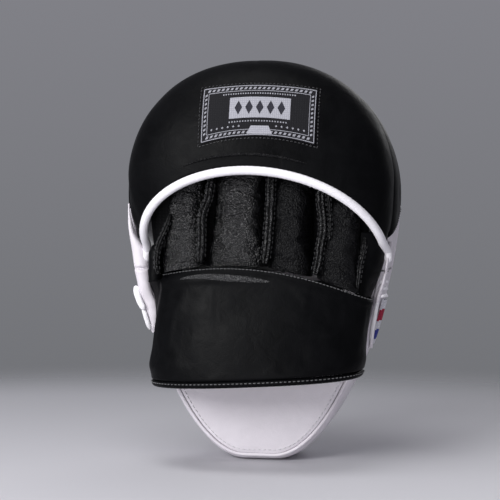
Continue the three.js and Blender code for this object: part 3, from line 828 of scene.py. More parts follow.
FACING_FROM = {-1: (172, 177), 1: (153, 175)}  # where each side of the facing ends, at the back and the front
FACING_Y = (1.4, THICKNESS - 3.0)
FACING_FLAT = 0.03  # the share of each half of the facing that lies along the pad's flat top


def facing_end(side, v):
    return lerp(*FACING_FROM[side], v) + 0.8 * math.sin(v * 9)


def facing_rim(q, y):
    return rim(q, skin_inset(y, edge(q)[1]) - 0.25)


def side_facing():
    """The hood's black leather, wrapped over the top of the side wall and sewn down at two slanting ends."""
    rows, columns = 14, 110

    def place(u, v):
        y = lerp(*FACING_Y, v)
        share, flat = abs(2 * u - 1), FACING_FLAT
        side = -1 if u < 0.5 else 1
        start = level_of(facing_end(side, v))
        q = 1 if share < flat else lerp(1, start, (share - flat) / (1 - flat))
        x, s = facing_rim(q, y)
        x *= min(1, share / flat) * side
        end = smooth(1 - share, 0, 0.01)
        return bend(x, y, s + 0.15 * ripple(x, y, s, 12, 4) * end)

    made = sheet_grid(place, 2 * columns, rows)
    solidify(mesh_piece("side_facing", *made, BLACK, "fingers", "black_leather"), 1.0)
    paths = []
    for side in (-1, 1):
        path = []
        for i in range(30):
            v = lerp(0.1, 0.97, i / 29)
            y = lerp(*FACING_Y, v)
            x, s = facing_rim(level_of(facing_end(side, v) + 2.2), y)
            path.append((bend(side * x, y, s), Vector((side, 0, 0))))
        paths.append(path)
    stitches("side_facing_stitching", paths, GREY_THREAD, "fingers", "black_leather", pitch=3, length=2.1)


def inset_half(rows, inset):
    """The right half of the planform moved inwards, in even steps."""
    return [rim(q, inset) for q in even_levels(rows)]


def rim_distance(x, s, outline):
    """How far the place lies from the outline."""
    best = 1e9
    for (ax, as_), (bx, bs) in zip(outline, outline[1:]):
        dx, ds = bx - ax, bs - as_
        t = max(0, min(1, ((x - ax) * dx + (s - as_) * ds) / (dx * dx + ds * ds)))
        best = min(best, math.hypot(x - ax - dx * t, s - as_ - ds * t))
    return best


def strike_cover():
    """The padded strike face: crowned, with a sewn channel near its edge and a soft fold at the crease."""
    inset, back, edge_y, top = 5.2, THICKNESS - LEATHER, THICKNESS - 1.8, THICKNESS
    channel_in, channel_depth, fold_depth = 14, 0.9, 1.3
    rows, columns = 96, 60
    side = inset_half(rows, inset)
    outline = [(0, side[0][1])] + side + [(0, side[-1][1])]

    def place(u, v, w):
        x, s = side[round(v * rows)]
        x *= 2 * u - 1
        if w == 0:
            return bend(x, back, s)
        d = rim_distance(abs(x), s, outline)
        high = lerp(edge_y, top, math.sqrt(min(1, d / 9)))
        high -= channel_depth * bell(d, channel_in, 1.5) + fold_depth * bell(s, CREASE, 6)
        high += 0.12 * ripple(x, 0, s, 25, 5) * min(1, d / 9)
        return bend(x, high, s)

    piece = mesh_piece("strike_cover", *block_grid(place, columns, rows, 1), WHITE, slot="white_leather")
    refine(piece)
    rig.padded(piece, fill=1.0)
    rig.replaces(piece, "palm_strike_cover", "finger_strike_cover")
    over_crease(piece)

    channel = inset_half(220, inset + channel_in)
    walk = channel + [(-x, s) for x, s in reversed(channel)]
    path = []
    for x, s in walk + walk[:1]:
        high = top - channel_depth - fold_depth * bell(s, CREASE, 6)
        path.append((bend(x, high, s), (bend(x, high + 1, s) - bend(x, high, s)).normalized()))
    row = stitches("strike_channel_stitching", [path], GREY_THREAD, slot="black_leather", pitch=4, length=3)
    over_crease(row)


def front_piping():
    """The roll round the strike face: black beside the black facing and white below it."""
    path = []
    for station in RING:
        x, s = ring_point(station, PIPING_R + 0.1)
        path.append(bend(x, PIPING_Y, s))
    piece = tube("front_piping", path, PIPING_R, BLACK, slot="black_leather", closed=True, pucker=0.012)
    piece.data.materials.append(WHITE)
    white_below = FACING_FROM[1][1] * MM
    for face in piece.data.polygons:
        face.material_index = 1 if face.center.z < white_below else 0
    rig.replaces(piece, "palm_front_piping", "finger_front_piping")
    over_crease(piece)


def foams():
    """Two foam sheets, one behind the other, each in one piece."""
    rows = 40
    side = even_levels(rows)
    for name, levels in (("shock_foam", (24.3, 42.2)), ("impact_foam", (2.8, 24))):

        def place(u, v, w):
            y = lerp(*levels, w)
            q = side[round(v * rows)]
            ease = 1.2 if 0 < w < 1 else 2.2
            x, s = rim(q, LEATHER + ease + skin_inset(y, edge(q)[1]) + (1.8 if y > 40 else 0))
            return bend(x * (2 * u - 1), y, s)

        piece = mesh_piece(name, *block_grid(place, 12, rows, 4), FOAM, slot="foam")
        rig.padded(piece, fill=1.0)
        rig.replaces(piece, "palm_" + name, "finger_" + name)
        over_crease(piece)


def target_patch():
    """The round leather patch over the palm: a flat face, a sewn groove and a turned edge."""
    centre, base, flat, groove, groove_level = 78, THICKNESS + 0.3, 2, 29.6, 1.45
    profile = [(0, flat), (10, flat), (20, flat), (27, flat), (28.6, 1.9), (groove, groove_level),
               (30.6, 1.9), (31.8, flat), (33.2, 1.75), (34, 1.0), (33.6, 0.2), (30, 0), (0, 0)]

    def place(r, h, turn):
        x, s = r * math.cos(turn), r * math.sin(turn)
        grain = 0.05 * ripple(x, 0, s, 9, 8) if h == flat else 0
        return Vector((x, base + h - abs(grain), centre + s))

    piece = mesh_piece("target_patch_leather", *lathe(profile, 96, place), BLACK, "palm", "black_leather")
    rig.replaces(piece, "target_patch")
    ring = []
    for j in range(121):
        turn = 2 * math.pi * j / 120
        at = Vector((groove * math.cos(turn), base + groove_level, centre + groove * math.sin(turn)))
        ring.append((at, Vector((0, 1, 0))))
    stitches("target_stitching", [ring], WHITE_THREAD, "palm", "white_binding", pitch=4, length=3)


def heel_panel():
    """The white back panel: it crowns below the cuff and lies flat under the hand."""
    rows = 70
    side = [rim(lerp(0, level_of(CREASE), i / rows), HEEL_IN) for i in range(rows + 1)]
    outline = [(0, side[0][1])] + side

    def place(u, v, w):
        x, s = side[round(v * rows)]
        x *= 2 * u - 1
        if w == 0:
            return bend(x, LEATHER - 0.2, s)
        d = rim_distance(abs(x), s, outline)
        below_cuff = 1 - smooth(s, 50, 63)
        high = 0.9 * (1 - math.sqrt(min(1, d / 5)))
        high -= 1.5 * smooth(d, 0, 22) * below_cuff
        high += 0.25 * ripple(x, 0, s, 22, 6) * smooth(d, 0, 6) * below_cuff
        return bend(x, high, s)

    piece = mesh_piece("heel_panel", *block_grid(place, 44, rows, 1), WHITE, "palm", "white_leather")
    refine(piece)
    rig.padded(piece, fill=0.9)
    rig.replaces(piece, "palm_back_panel")

    fine = [lerp(0, level_of(CREASE) - 0.002, i / 120) for i in range(121)]
    half = [rim(q, HEEL_IN - BACK_PIPING_R - 0.1) for q in fine]
    walk = [(-x, s) for x, s in reversed(half)] + half
    path = [bend(x, BACK_PIPING_R, s) for x, s in walk]
    welt = tube("heel_piping", path, BACK_PIPING_R, WHITE, "palm", "white_leather", sides=10, pucker=0.03)
    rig.replaces(welt, "palm_back_piping")
    half = [rim(q, HEEL_IN + 2.4) for q in fine]
    walk = [(-x, s) for x, s in reversed(half)] + half
    row = [(Vector((x, 0.15, s)), Vector((0, -1, 0))) for x, s in walk if s < 62]
    stitches("heel_stitching", [row], WHITE_THREAD, "palm", "white_leather", pitch=3.6, length=2.6)


def finger_panel():
    """The lining under the fingers, hidden behind the stalls."""
    rows = 40
    start = level_of(CREASE)
    side = [rim(lerp(start, 1, i / rows), 17) for i in range(rows + 1)]

    def place(u, v, w):
        x, s = side[round(v * rows)]
        lift = 0.25 * ripple(x * u, 0, s, 12, 7) if w and 0 < u < 1 and 0 < v < 1 else 0
        return bend(x * (2 * u - 1), lerp(LEATHER, 0.3, w) + lift, s + 0.4)

    piece = mesh_piece("finger_back_lining", *block_grid(place, 30, rows, 1), LINING, "fingers", "lining")
    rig.replaces(piece, "finger_back_panel")


# ---------------------------------------------------------------- the hood
def hood_rim(angle):
    """The hood's outer rim on the pad; the angle runs from 0 at the right foot to pi at the left one."""
    side = -1 if math.cos(angle) < 0 else 1
    turn = angle if side > 0 else math.pi - angle
    q = lerp(HOOD_FOOT_Q, 1, min(1, max(0, turn) / (math.pi / 2 - HOOD_FLAT_TOP)) ** HOOD_SPREAD)
    foot, shoulder, top = HOOD_RIM_IN[side]
    level = edge(q)[1]
    inset = lerp(lerp(foot, shoulder, smooth(level, *HOOD_RIM_FADE)), top, smooth(level, *HOOD_RIM_FADE_TOP))
    x, s = rim(q, inset)
    return Vector((side * x * min(1, (math.pi / 2 - turn) / HOOD_FLAT_TOP), HOOD_RIM_Y, s))


def hood_edge(angle):
    """The hood's opening edge."""
    climb = max(0, math.sin(angle))
    return Vector((HOOD_HALF * math.cos(angle) + lerp(*HOOD_SKEW, climb),
                   HOOD_FOOT_Y - HOOD_STANDOFF * climb ** HOOD_STANDOFF_POWER,
                   HOOD_FOOT + HOOD_RISE * climb))


def hood_flat(angle, v):
    """A point of the hood's outside, v from 0 at the rim to 1 at the opening, before bending."""
    a = 1 - power(math.cos(v * math.pi / 2), HOOD_ROUNDNESS)
    b = power(math.sin(v * math.pi / 2), HOOD_ROUNDNESS)
    foot, tip = hood_rim(angle), hood_edge(angle)
    return Vector((lerp(foot.x, tip.x, a), lerp(foot.y, tip.y, b), lerp(foot.z, tip.z, a)))


def hood_point(angle, v, depth):
    """A point that far inside the hood's outside, bent into place."""
    step = 0.01
    p = hood_flat(angle, v)
    across = hood_flat(angle + step, v) - hood_flat(angle - step, v)
    along = hood_flat(angle, min(1, v + step)) - hood_flat(angle, max(0, v - step))
    normal = across.cross(along)
    if v == 0:
        normal.y = 0
    p -= normal.normalized() * depth
    return bend(*p)


def hood_end(angle, short):
    """The v that lies that far short of the opening edge."""
    tip = hood_flat(angle, 1)
    return bisect(0.5, 1, lambda v: (hood_flat(angle, v) - tip).length > short)


def hood_thin(angle):
    """The share of its depth that each inner layer keeps: they close up towards the feet."""
    return lerp(0.45, 1, smooth(math.sin(angle), 0, math.sin(math.radians(50))))


def hood_sheet(name, depth, thickness, material, slot, columns, rows, start, detail, replaces):
    """One layer of the hood, from its rim to its opening edge."""
    ends = {}

    def place(u, v):
        angle = lerp(start, math.pi - start, u)
        if u not in ends:
            ends[u] = hood_end(angle, BINDING_R * 0.7 if depth == 0 else BINDING_R + 0.6)
        at = v * ends[u]
        lift = detail(angle, at) if detail else 0
        return hood_point(angle, at, depth * hood_thin(angle) - lift)

    piece = mesh_piece(name, *sheet_grid(place, columns, rows), material, "fingers", slot)
    solidify(piece, thickness)
    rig.replaces(piece, *replaces)
    return piece


def hood_detail(angle, v):
    """Soft waves, and a raised fold that runs along above the binding."""
    p = hood_flat(angle, v)
    away = (p - hood_flat(angle, 1)).length
    middle = bell(angle, 1.62, 0.42)
    fold = 1.2 * middle * bell(away, 10.5, 1.4)
    hollow = 0.5 * middle * bell(away, 7.2, 1.8)
    wave = 0.55 * ripple(p.x, p.y, p.z, 42, 9) + 0.18 * ripple(p.x, p.y, p.z, 13, 10)
    return fold - hollow + wave * smooth(v, 0, 0.25)


def hood_ridge():
    """The raised fold that runs along above the binding, in a leather lighter than the hood's as a painted highlight.
    """
    path = []
    for i in range(61):
        angle = math.radians(lerp(62, 122, i / 60))
        v = hood_end(angle, 9.6)
        path.append(hood_point(angle, v, -0.45 - hood_detail(angle, v)))
    made = sweep(resample(path, 1.2), closing_section(1.0, 10, 0.6, 0.02))
    mesh_piece("hood_ridge", *made, GRAINED_PAINTED_LIGHT, "fingers", "black_leather")


def hood():
    """The hood's three layers and the roll that binds its opening edge, down past both feet."""
    hood_sheet("hood_leather", 0, 1.6, BLACK, "black_leather", 150, 66, math.radians(2), hood_detail,
               ("hood_shell",))
    hood_sheet("hood_lining_cloth", 6.3, 0.8, LINING, "lining", 90, 24, math.radians(5), None,
               ("hood_lining",))
    pad = hood_sheet("hood_foam", 2.6, 2.6, FOAM, "foam", 70, 18, math.radians(6), None, ("hood_padding",))
    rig.padded(pad, fill=0.9)
    right_foot = [(88.4, -0.6, 138), (88.9, -1.2, 142), (88.4, -2, 146)]
    left_foot = [(-78, -2.4, 145), (-79, -2.2, 141), (-79.6, -1.4, 136)]
    line = right_foot + [hood_edge(math.pi * i / 100) for i in range(1, 100)] + left_foot
    path = [bend(*spot) for spot in line]
    binding = tube("hood_binding", path, BINDING_R, BINDING, "fingers", "white_binding", sides=18,
                   pucker=0.022)
    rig.replaces(binding, "hood_edge_binding")


# ---------------------------------------------------------------- the woven label
LABEL_X, LABEL_S, LABEL_WIDE, LABEL_HIGH = 4, 226.6, 77, 35
LABEL_ARCH = (5, 2.4)  # how far the middle of its lower and upper edges rises above their ends


def hood_at(x, s):
    """The angle and v of the hood's outside over the flat place (x, s)."""
    def right_of_place(angle):
        foot, tip = hood_rim(angle), hood_edge(angle)
        return (tip.x - foot.x) * (s - foot.z) < (tip.z - foot.z) * (x - foot.x)

    angle = bisect(math.radians(5), math.radians(175), right_of_place)
    foot, tip = hood_rim(angle), hood_edge(angle)
    wide, high = tip.x - foot.x, tip.z - foot.z
    share = ((x - foot.x) * wide + (s - foot.z) * high) / (wide ** 2 + high ** 2)
    return angle, math.acos((1 - share) ** (1 / HOOD_ROUNDNESS)) * 2 / math.pi


def on_label(a, b, lift):
    """The point of the label a mm right of and b mm above its middle, that far above the hood's leather."""
    arch = lerp(*LABEL_ARCH, b / LABEL_HIGH + 0.5) * (1 - (2 * a / LABEL_WIDE) ** 2)
    angle, v = hood_at(LABEL_X + a, LABEL_S + b + arch)
    return hood_point(angle, v, -lift - hood_detail(angle, v))


def raised(name, patches, material, low, high):
    """Flat raised patches on the label, each a list of (a, b) corners of a convex outline."""
    points, faces = [], []
    for corners in patches:
        first, n = len(points), len(corners)
        points += [on_label(a, b, low) for a, b in corners]
        points += [on_label(a, b, high) for a, b in corners]
        faces.append(tuple(first + n + j for j in range(n)))
        faces.append(tuple(first + j for j in reversed(range(n))))
        for j in range(n):
            k = (j + 1) % n
            faces.append((first + j, first + k, first + n + k, first + n + j))
    mesh_piece(name, points, faces, material, "fingers", "label_weave", smooth_shade=False)


def strip(a0, b0, a1, b1, wide):
    """A straight band cut into short patches, so that it follows the hood."""
    long = math.hypot(a1 - a0, b1 - b0)
    count = max(1, round(long / 2.5))
    nx, ny = -(b1 - b0) / long * wide / 2, (a1 - a0) / long * wide / 2
    made = []
    for i in range(count):
        p, q = i / count, (i + 1) / count
        pa, pb, qa, qb = lerp(a0, a1, p), lerp(b0, b1, p), lerp(a0, a1, q), lerp(b0, b1, q)
        made.append([(pa - nx, pb - ny), (qa - nx, qb - ny), (qa + nx, qb + ny), (pa + nx, pb + ny)])
    return made


def frame_strips(half_wide, half_high, wide):
    w, h = half_wide, half_high
    return (strip(-w, -h, w, -h, wide) + strip(w, -h, w, h, wide) + strip(w, h, -w, h, wide)
            + strip(-w, h, -w, -h, wide))


def box_patch(a0, b0, a1, b1):
    return [(a0, b0), (a1, b0), (a1, b1), (a0, b1)]


def lozenge(a, b, half_wide, half_high):
    return [(a, b - half_high), (a + half_wide, b), (a, b + half_high), (a - half_wide, b)]


def hood_label():
    """The label's cloth with generic raised patterns in yarn: frames, a rope border, dots and lozenges."""
    wide, high = LABEL_WIDE / 2, LABEL_HIGH / 2
    rope_in = 2.7  # how far inside the label's edge the rope border runs

    def place(u, v, w):
        return on_label(lerp(-wide, wide, u), lerp(-high, high, v), lerp(0.15, 0.9, w))

    cloth = mesh_piece("label_cloth", *block_grid(place, 48, 24, 1), LABEL_CLOTH, "fingers", "label_weave")
    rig.replaces(cloth, "hood_label")
    yarn = frame_strips(wide - 0.9, high - 0.9, 0.5) + frame_strips(wide - 4.4, high - 4.4, 0.38)
    rope = []
    for k in (-1, 1):
        count = round((2 * wide - 6) / 3.1)
        for i in range(count):
            a = lerp(-wide + 3, wide - 3, (i + 0.5) / count)
            b = k * (high - rope_in)
            rope.append([(a - 1.25, b - 0.75), (a + 0.35, b - 0.75), (a + 1.25, b + 0.75),
                         (a - 0.35, b + 0.75)])
        count = round((2 * high - 8) / 2.6)
        for i in range(count):
            b = lerp(-high + 4, high - 4, (i + 0.5) / count)
            a = k * (wide - rope_in)
            rope.append([(a - 0.7, b - 0.9), (a + 0.7, b - 0.3), (a + 0.7, b + 0.9), (a - 0.7, b + 0.3)])
    raised("label_border_yarn", yarn + rope, LABEL_EDGE_YARN, 0.85, 1.12)
    plaque = []
    across = [lerp(-19.4, 21.4, i / 12) for i in range(13)]
    up = [lerp(-5.4, 8.6, j / 4) for j in range(5)]
    for a0, a1 in zip(across, across[1:]):
        for b0, b1 in zip(up, up[1:]):
            plaque.append(box_patch(a0, b0, a1, b1))
    low, top = 1.4 - high, 6.8 - high
    plaque += [[(-7, low), (-4.4, low), (-4.4, top)], box_patch(-4.4, low, 7.4, top),
               [(7.4, low), (10, low), (7.4, top)]]
    raised("label_plaque_yarn", plaque, LABEL_YARN, 0.85, 1.2)
    dark = [lozenge(lerp(-13.4, 15.4, i / 4), 1.6, 2.5, 4.6) for i in range(5)]
    raised("label_plaque_motif", dark, LABEL_DARK, 1.15, 1.42)
    dashes = []
    for b, half, count in ((11.2, 24, 30), (-7.6, 19, 22)):
        for i in range(count):
            a = lerp(-half, half, i / (count - 1))
            dashes.append(box_patch(a - 0.42, b - 0.42, a + 0.42, b + 0.42))
    for i in range(6):
        for side in (-1, 1):
            dashes.append(lozenge(side * lerp(12.5, 31, i / 5), -10.6, 0.75, 0.75))
    raised("label_dash_yarn", dashes, LABEL_EDGE_YARN, 0.85, 1.1)
    corners = box_patch(-wide - 1.6, -high - 1.2, wide + 1.6, high + 1.2)
    path = []
    for (a0, b0), (a1, b1) in zip(corners, corners[1:] + corners[:1]):
        for i in range(30):
            a, b = lerp(a0, a1, i / 30), lerp(b0, b1, i / 30)
            p = on_label(a, b, 0)
            path.append((p, (on_label(a, b, 1) - p).normalized()))
    path.append(path[0])
    stitches("label_stitching", [path], BLACK_THREAD, "fingers", "black_leather", pitch=2.6, length=1.7,
             radius=0.3)


# ---------------------------------------------------------------- the finger stalls
STALL_FROM, STALL_TO = (0, 0, 0.1365), (0, 0, 0.164)  # the stalls bend between these as the fingers flex


def over_knuckles(piece):
    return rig.blend(piece, "palm", "fingers", start=STALL_FROM, end=STALL_TO)


def stall_lean(t):
    return 2.6 * t * t


def stall_shrink(t):
    """The share of the section that is left at t of the way to the tip."""
    return 1 if t < 0.82 else math.sqrt(max(0.09, 1 - ((t - 0.82) / 0.185) ** 2))


def wrinkle(x, y, s, seed):
    """Leather folds: slanting creases, softer swells and a little unevenness, in millimetres."""
    slant = s + 0.45 * x
    sharp = 1 - abs(ripple(x * 0.35, y * 0.3, slant, 9, seed)) * 2.6
    crease = max(0, sharp) ** 3
    swell = ripple(x, y, slant, 17, seed + 1)
    return 0.9 * swell - 1.0 * crease + 0.25 * ripple(x, y, s, 5, seed + 2)


def stall(finger, seed):
    """A finger's leather tube, closed at its tip, with folds on the side that shows."""
    left, right, tip = STALLS[finger]
    sides, levels, squareness = 56, 60, 0.72
    narrows, flattens, sinks = 2.5, 3.5, 2.4  # from the seam to the tip

    def place(u, t):
        angle = 2 * math.pi * u
        half = ((right - left - WELT) / 2 - narrows * t) * stall_shrink(t)
        deep = (STALL_DEPTH - flattens * t) * stall_shrink(t)
        out = Vector((power(math.cos(angle), squareness), power(math.sin(angle), squareness)))
        x = (left + right) / 2 + half * out.x
        y = STALL_Y + sinks * t + deep * out.y
        s = lerp(seam_at(x) + 0.2, tip, t)
        front = smooth(-math.sin(angle), -0.3, 0.5)
        give = wrinkle(x, y, s, seed) * front * smooth(t, 0, 0.12) * 0.9 - 0.8
        x += give * math.cos(angle) * 0.3 + stall_lean(t)
        y += give * math.sin(angle)
        return bend(x, y, s)

    # The ring and little stalls take the darker copy of the grained leather as painted shade.
    leather_kind = GRAINED if finger in ("index", "middle") else GRAINED_PAINTED_LIGHT
    piece = mesh_piece(finger + "_stall_leather", *capped_tube(place, sides, levels), leather_kind,
                       slot="grained_leather")

    def sewn(index):
        level, turn = divmod(index, sides)
        return level < 2 or level > levels - 3 or turn <= sides / 2

    puff(piece, sewn, growth=0.05, cap=2.2)
    solidify(piece, 1.3)
    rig.replaces(piece, finger + "_stall")
    return over_knuckles(piece)


def thumb_stall():
    """The short dark stall beside the index finger's."""
    def place(u, v):
        angle = 2 * math.pi * u
        shrink = 1 if v < 0.75 else math.sqrt(max(0.12, 1 - ((v - 0.75) / 0.26) ** 2))
        x = THUMB_X + THUMB_HALF * shrink * power(math.cos(angle), 0.8)
        y = THUMB_Y + (THUMB_DEPTH - 2.5 * v) * shrink * power(math.sin(angle), 0.8)
        s = lerp(seam_at(x) - 4, THUMB_TIP, v)
        y += 0.4 * wrinkle(x, y, s, 40) * max(0, -math.sin(angle)) * smooth(v, 0, 0.2)
        return bend(x, y, s)

    piece = mesh_piece("thumb_stall_leather", *capped_tube(place, 40, 30), BLACK, slot="grained_leather")
    solidify(piece, 1.3)
    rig.replaces(piece, "thumb_stall")
    over_knuckles(piece)


def welt_section(wide, high, depth):
    """Two rounded folds side by side on a tapering foot that reaches down between the stalls."""
    top, sides = [], 7
    for i in range(2 * sides + 1):
        a = lerp(-wide / 2, wide / 2, i / (2 * sides))
        near = abs(abs(a) - wide / 4) / (wide / 4)
        top.append((a, high * math.sqrt(max(0, 1 - near * near)) * 0.9 + 0.1 * high))
    neck, foot = wide / 2 - 0.4, wide / 2 - 0.7
    return top + [(neck, -3.4), (foot, -depth), (-foot, -depth), (-neck, -3.4)]


def welt(name, line, wide, high, replaces, seed, depth=12, levels=None):
    """A folded seam that stands up between two stalls, over the flat places (x, s) of its line. levels are
    the y of its first and last point where it doesn't lie level with the stalls' crests."""
    spots = resample([Vector((x, s, 0)) for x, s in line], 0.5)
    soft = []
    for i, spot in enumerate(spots):
        near = spots[max(0, i - 9):i + 10]
        soft.append(sum(near, Vector()) / len(near))
    path = []
    spots = resample(soft, 1.3)
    for i, spot in enumerate(spots):
        x, s = spot.x, spot.y
        sink = WELT_SINK * (s - seam_at(x)) / WELT_RUN
        y = lerp(*levels, i / (len(spots) - 1)) if levels else STALL_Y - STALL_DEPTH + sink - 0.9
        path.append(bend(x + 0.5 * ripple(0, 0, s, 9, seed), y, s))
    shape = welt_section(wide, high, depth)

    def section(t):
        size = (0.75 + 0.25 * smooth(t, 0, 0.12)) * (1 - 0.4 * smooth(t, 0.9, 1))
        rough = 1 + 0.22 * ripple(t * 70, 0, 0, 6, seed + 3)
        twist = 0.25 * ripple(t * 70, 9, 0, 22, seed + 4)
        return [(a * size + twist * max(0, o), o * size * (rough if o > 0 else 1)) for a, o in shape]

    piece = mesh_piece(name, *sweep(path, section), GRAINED, slot="black_leather")
    refine(piece)
    if replaces:
        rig.replaces(piece, replaces)
    over_knuckles(piece)
    rows = []
    for sign in (-1, 1):
        aside = Vector((sign * (wide / 2 + 0.5), 0.9, 0))
        normal = Vector((sign * 0.3, -1, 0.1)).normalized()
        rows.append([(p + aside, normal) for p in path[2:-4]])
    over_knuckles(stitches(name + "_stitching", rows, BLACK_THREAD, slot="black_leather", pitch=3.2,
                           length=2.2, radius=0.28))


def little_side_wall():
    """The glove's side beside the little finger, from the stall's shoulder down to the pad."""
    def place(u, v):
        s = lerp(110, 158, v)
        foot = rim(level_of(s), lerp(7.5, 3.4, smooth(s, 112, 140)))[0]
        turn = u * math.pi / 2
        x = lerp(foot, 71.5, 1 - math.cos(turn))
        y = lerp(0.2, lerp(-24, -17, v), math.sin(turn))
        x += 0.7 * wrinkle(x, y, s, 60) * math.sin(math.pi * u)
        return bend(x, y, s)

    piece = mesh_piece("little_side_leather", *sheet_grid(place, 30, 38), BLACK, slot="grained_leather")
    solidify(piece, 1.4)
    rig.replaces(piece, "little_side_wall")
    over_knuckles(piece)


def glove():
    """The five stalls, the welts between them and the side wall."""
    for seed, finger in enumerate(STALLS):
        stall(finger, 100 + 10 * seed)
    thumb_stall()
    welt("thumb_index_fold", [(-62.8, 128.5), (-65.3, 137), (-64.2, 148), (-58, 160), (-55, 170)], 2.8, 2.0,
         "thumb_index_welt", seed=1)
    welt("index_middle_fold", [(-34.2, 136.2), (-34.6, 150), (-34.4, 167), (-30, 178), (-28.5, 194)],
         5.0, 2.8, "index_middle_welt", seed=2)
    welt("middle_ring_fold", [(8.7, 135.6), (10.8, 150), (12, 176), (12.4, 198)], 5.4, 2.8,
         "middle_ring_welt", seed=3)
    welt("ring_little_fold", [(42.6, 129.4), (45.6, 143), (48.3, 161), (46.2, 175), (45.5, 189)], 5.0, 2.8,
         "ring_little_welt", seed=4)
    welt("ring_little_pleat", [(51.5, 150), (52.4, 160), (51.8, 174), (50, 186)], 1.8, 1.2, None, seed=6)
    welt("little_side_seam", [(70.2, 121), (72, 134), (73.9, 146), (75.2, 157)], 2.6, 1.8, None, 5, 5,
         (-27.6, -17))
    little_side_wall()


# ---------------------------------------------------------------- the cuff
CUFF_CENTRE_Y, CUFF_TUCK, CUFF_INWARD, CUFF_POWER = -14, math.radians(35), 20, 2 / 2.5
CUFF_HALF, CUFF_SHIFT, CUFF_OUT, CUFF_OUT_POWER = (75, 73.5), (0.5, 9), (43, 24), 1.25
HEM_R = 2.4
CUFF_FROM, CUFF_TO = (0, -0.008, 0.1), (0, -0.032, 0.1)  # the cuff's sides stay on the pad as its back lifts


def with_cuff(piece):
    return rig.blend(piece, "palm", "cuff", start=CUFF_FROM, end=CUFF_TO)


def cuff_flat(u, v, lift=0.0, gap=1.0):
    """A point of the cuff's outside, u round it from right to left and v up it, before bending."""
    angle = lerp(-CUFF_TUCK, math.pi + CUFF_TUCK, u)
    out = lerp(*CUFF_OUT, v ** CUFF_OUT_POWER)
    wide = power(math.cos(angle), CUFF_POWER)
    x = lerp(*CUFF_SHIFT, v) + lerp(*CUFF_HALF, v) * wide
    drawn_in_right = lerp(1.2, 2.2, v) + 1.4 * math.sin(math.pi * v)
    drawn_in_left = 3 * (1 - smooth(v, 0, 0.15))
    x += max(0, -wide) * drawn_in_left - max(0, wide) * drawn_in_right
    bulge = power(math.sin(angle), CUFF_POWER)
    y = CUFF_CENTRE_Y - bulge * (out if bulge > 0 else CUFF_INWARD)
    return Vector((x, y, lerp(cuff_bottom_at(x) + lift, seam_at(x) - gap, v)))


def cuff_point(u, v, depth, lift=0.0, gap=1.0):
    """A point that far inside the cuff's outside, bent into place."""
    step = 0.01
    across = cuff_flat(min(1, u + step), v) - cuff_flat(max(0, u - step), v)
    inwards = Vector((across.y, -across.x, 0)).normalized()
    return bend(*(cuff_flat(u, v, lift, gap) + inwards * depth))


def cuff_detail(u, v):
    """How far the cuff's leather sinks: soft waves, a rolled top edge and a hollow above the hem."""
    p = cuff_flat(u, v)
    soft = math.sin(math.pi * v) ** 0.5
    wave = 0.9 * ripple(p.x, 0, p.z, 38, 12) + 0.25 * ripple(p.x, 0, p.z, 12, 13)
    slope = p.z - 64 - 0.16 * (p.x - 30)
    swell = -1.1 * bell(slope, 0, 5) * smooth(p.x, 5, 40)
    roll = 0.4 + 0.9 * bell(p.x, -28, 30)
    top = 1.5 * smooth(v, 0.94, 1) ** 2 - roll * bell(v, 0.91, 0.035)
    return wave * soft + swell * soft + top


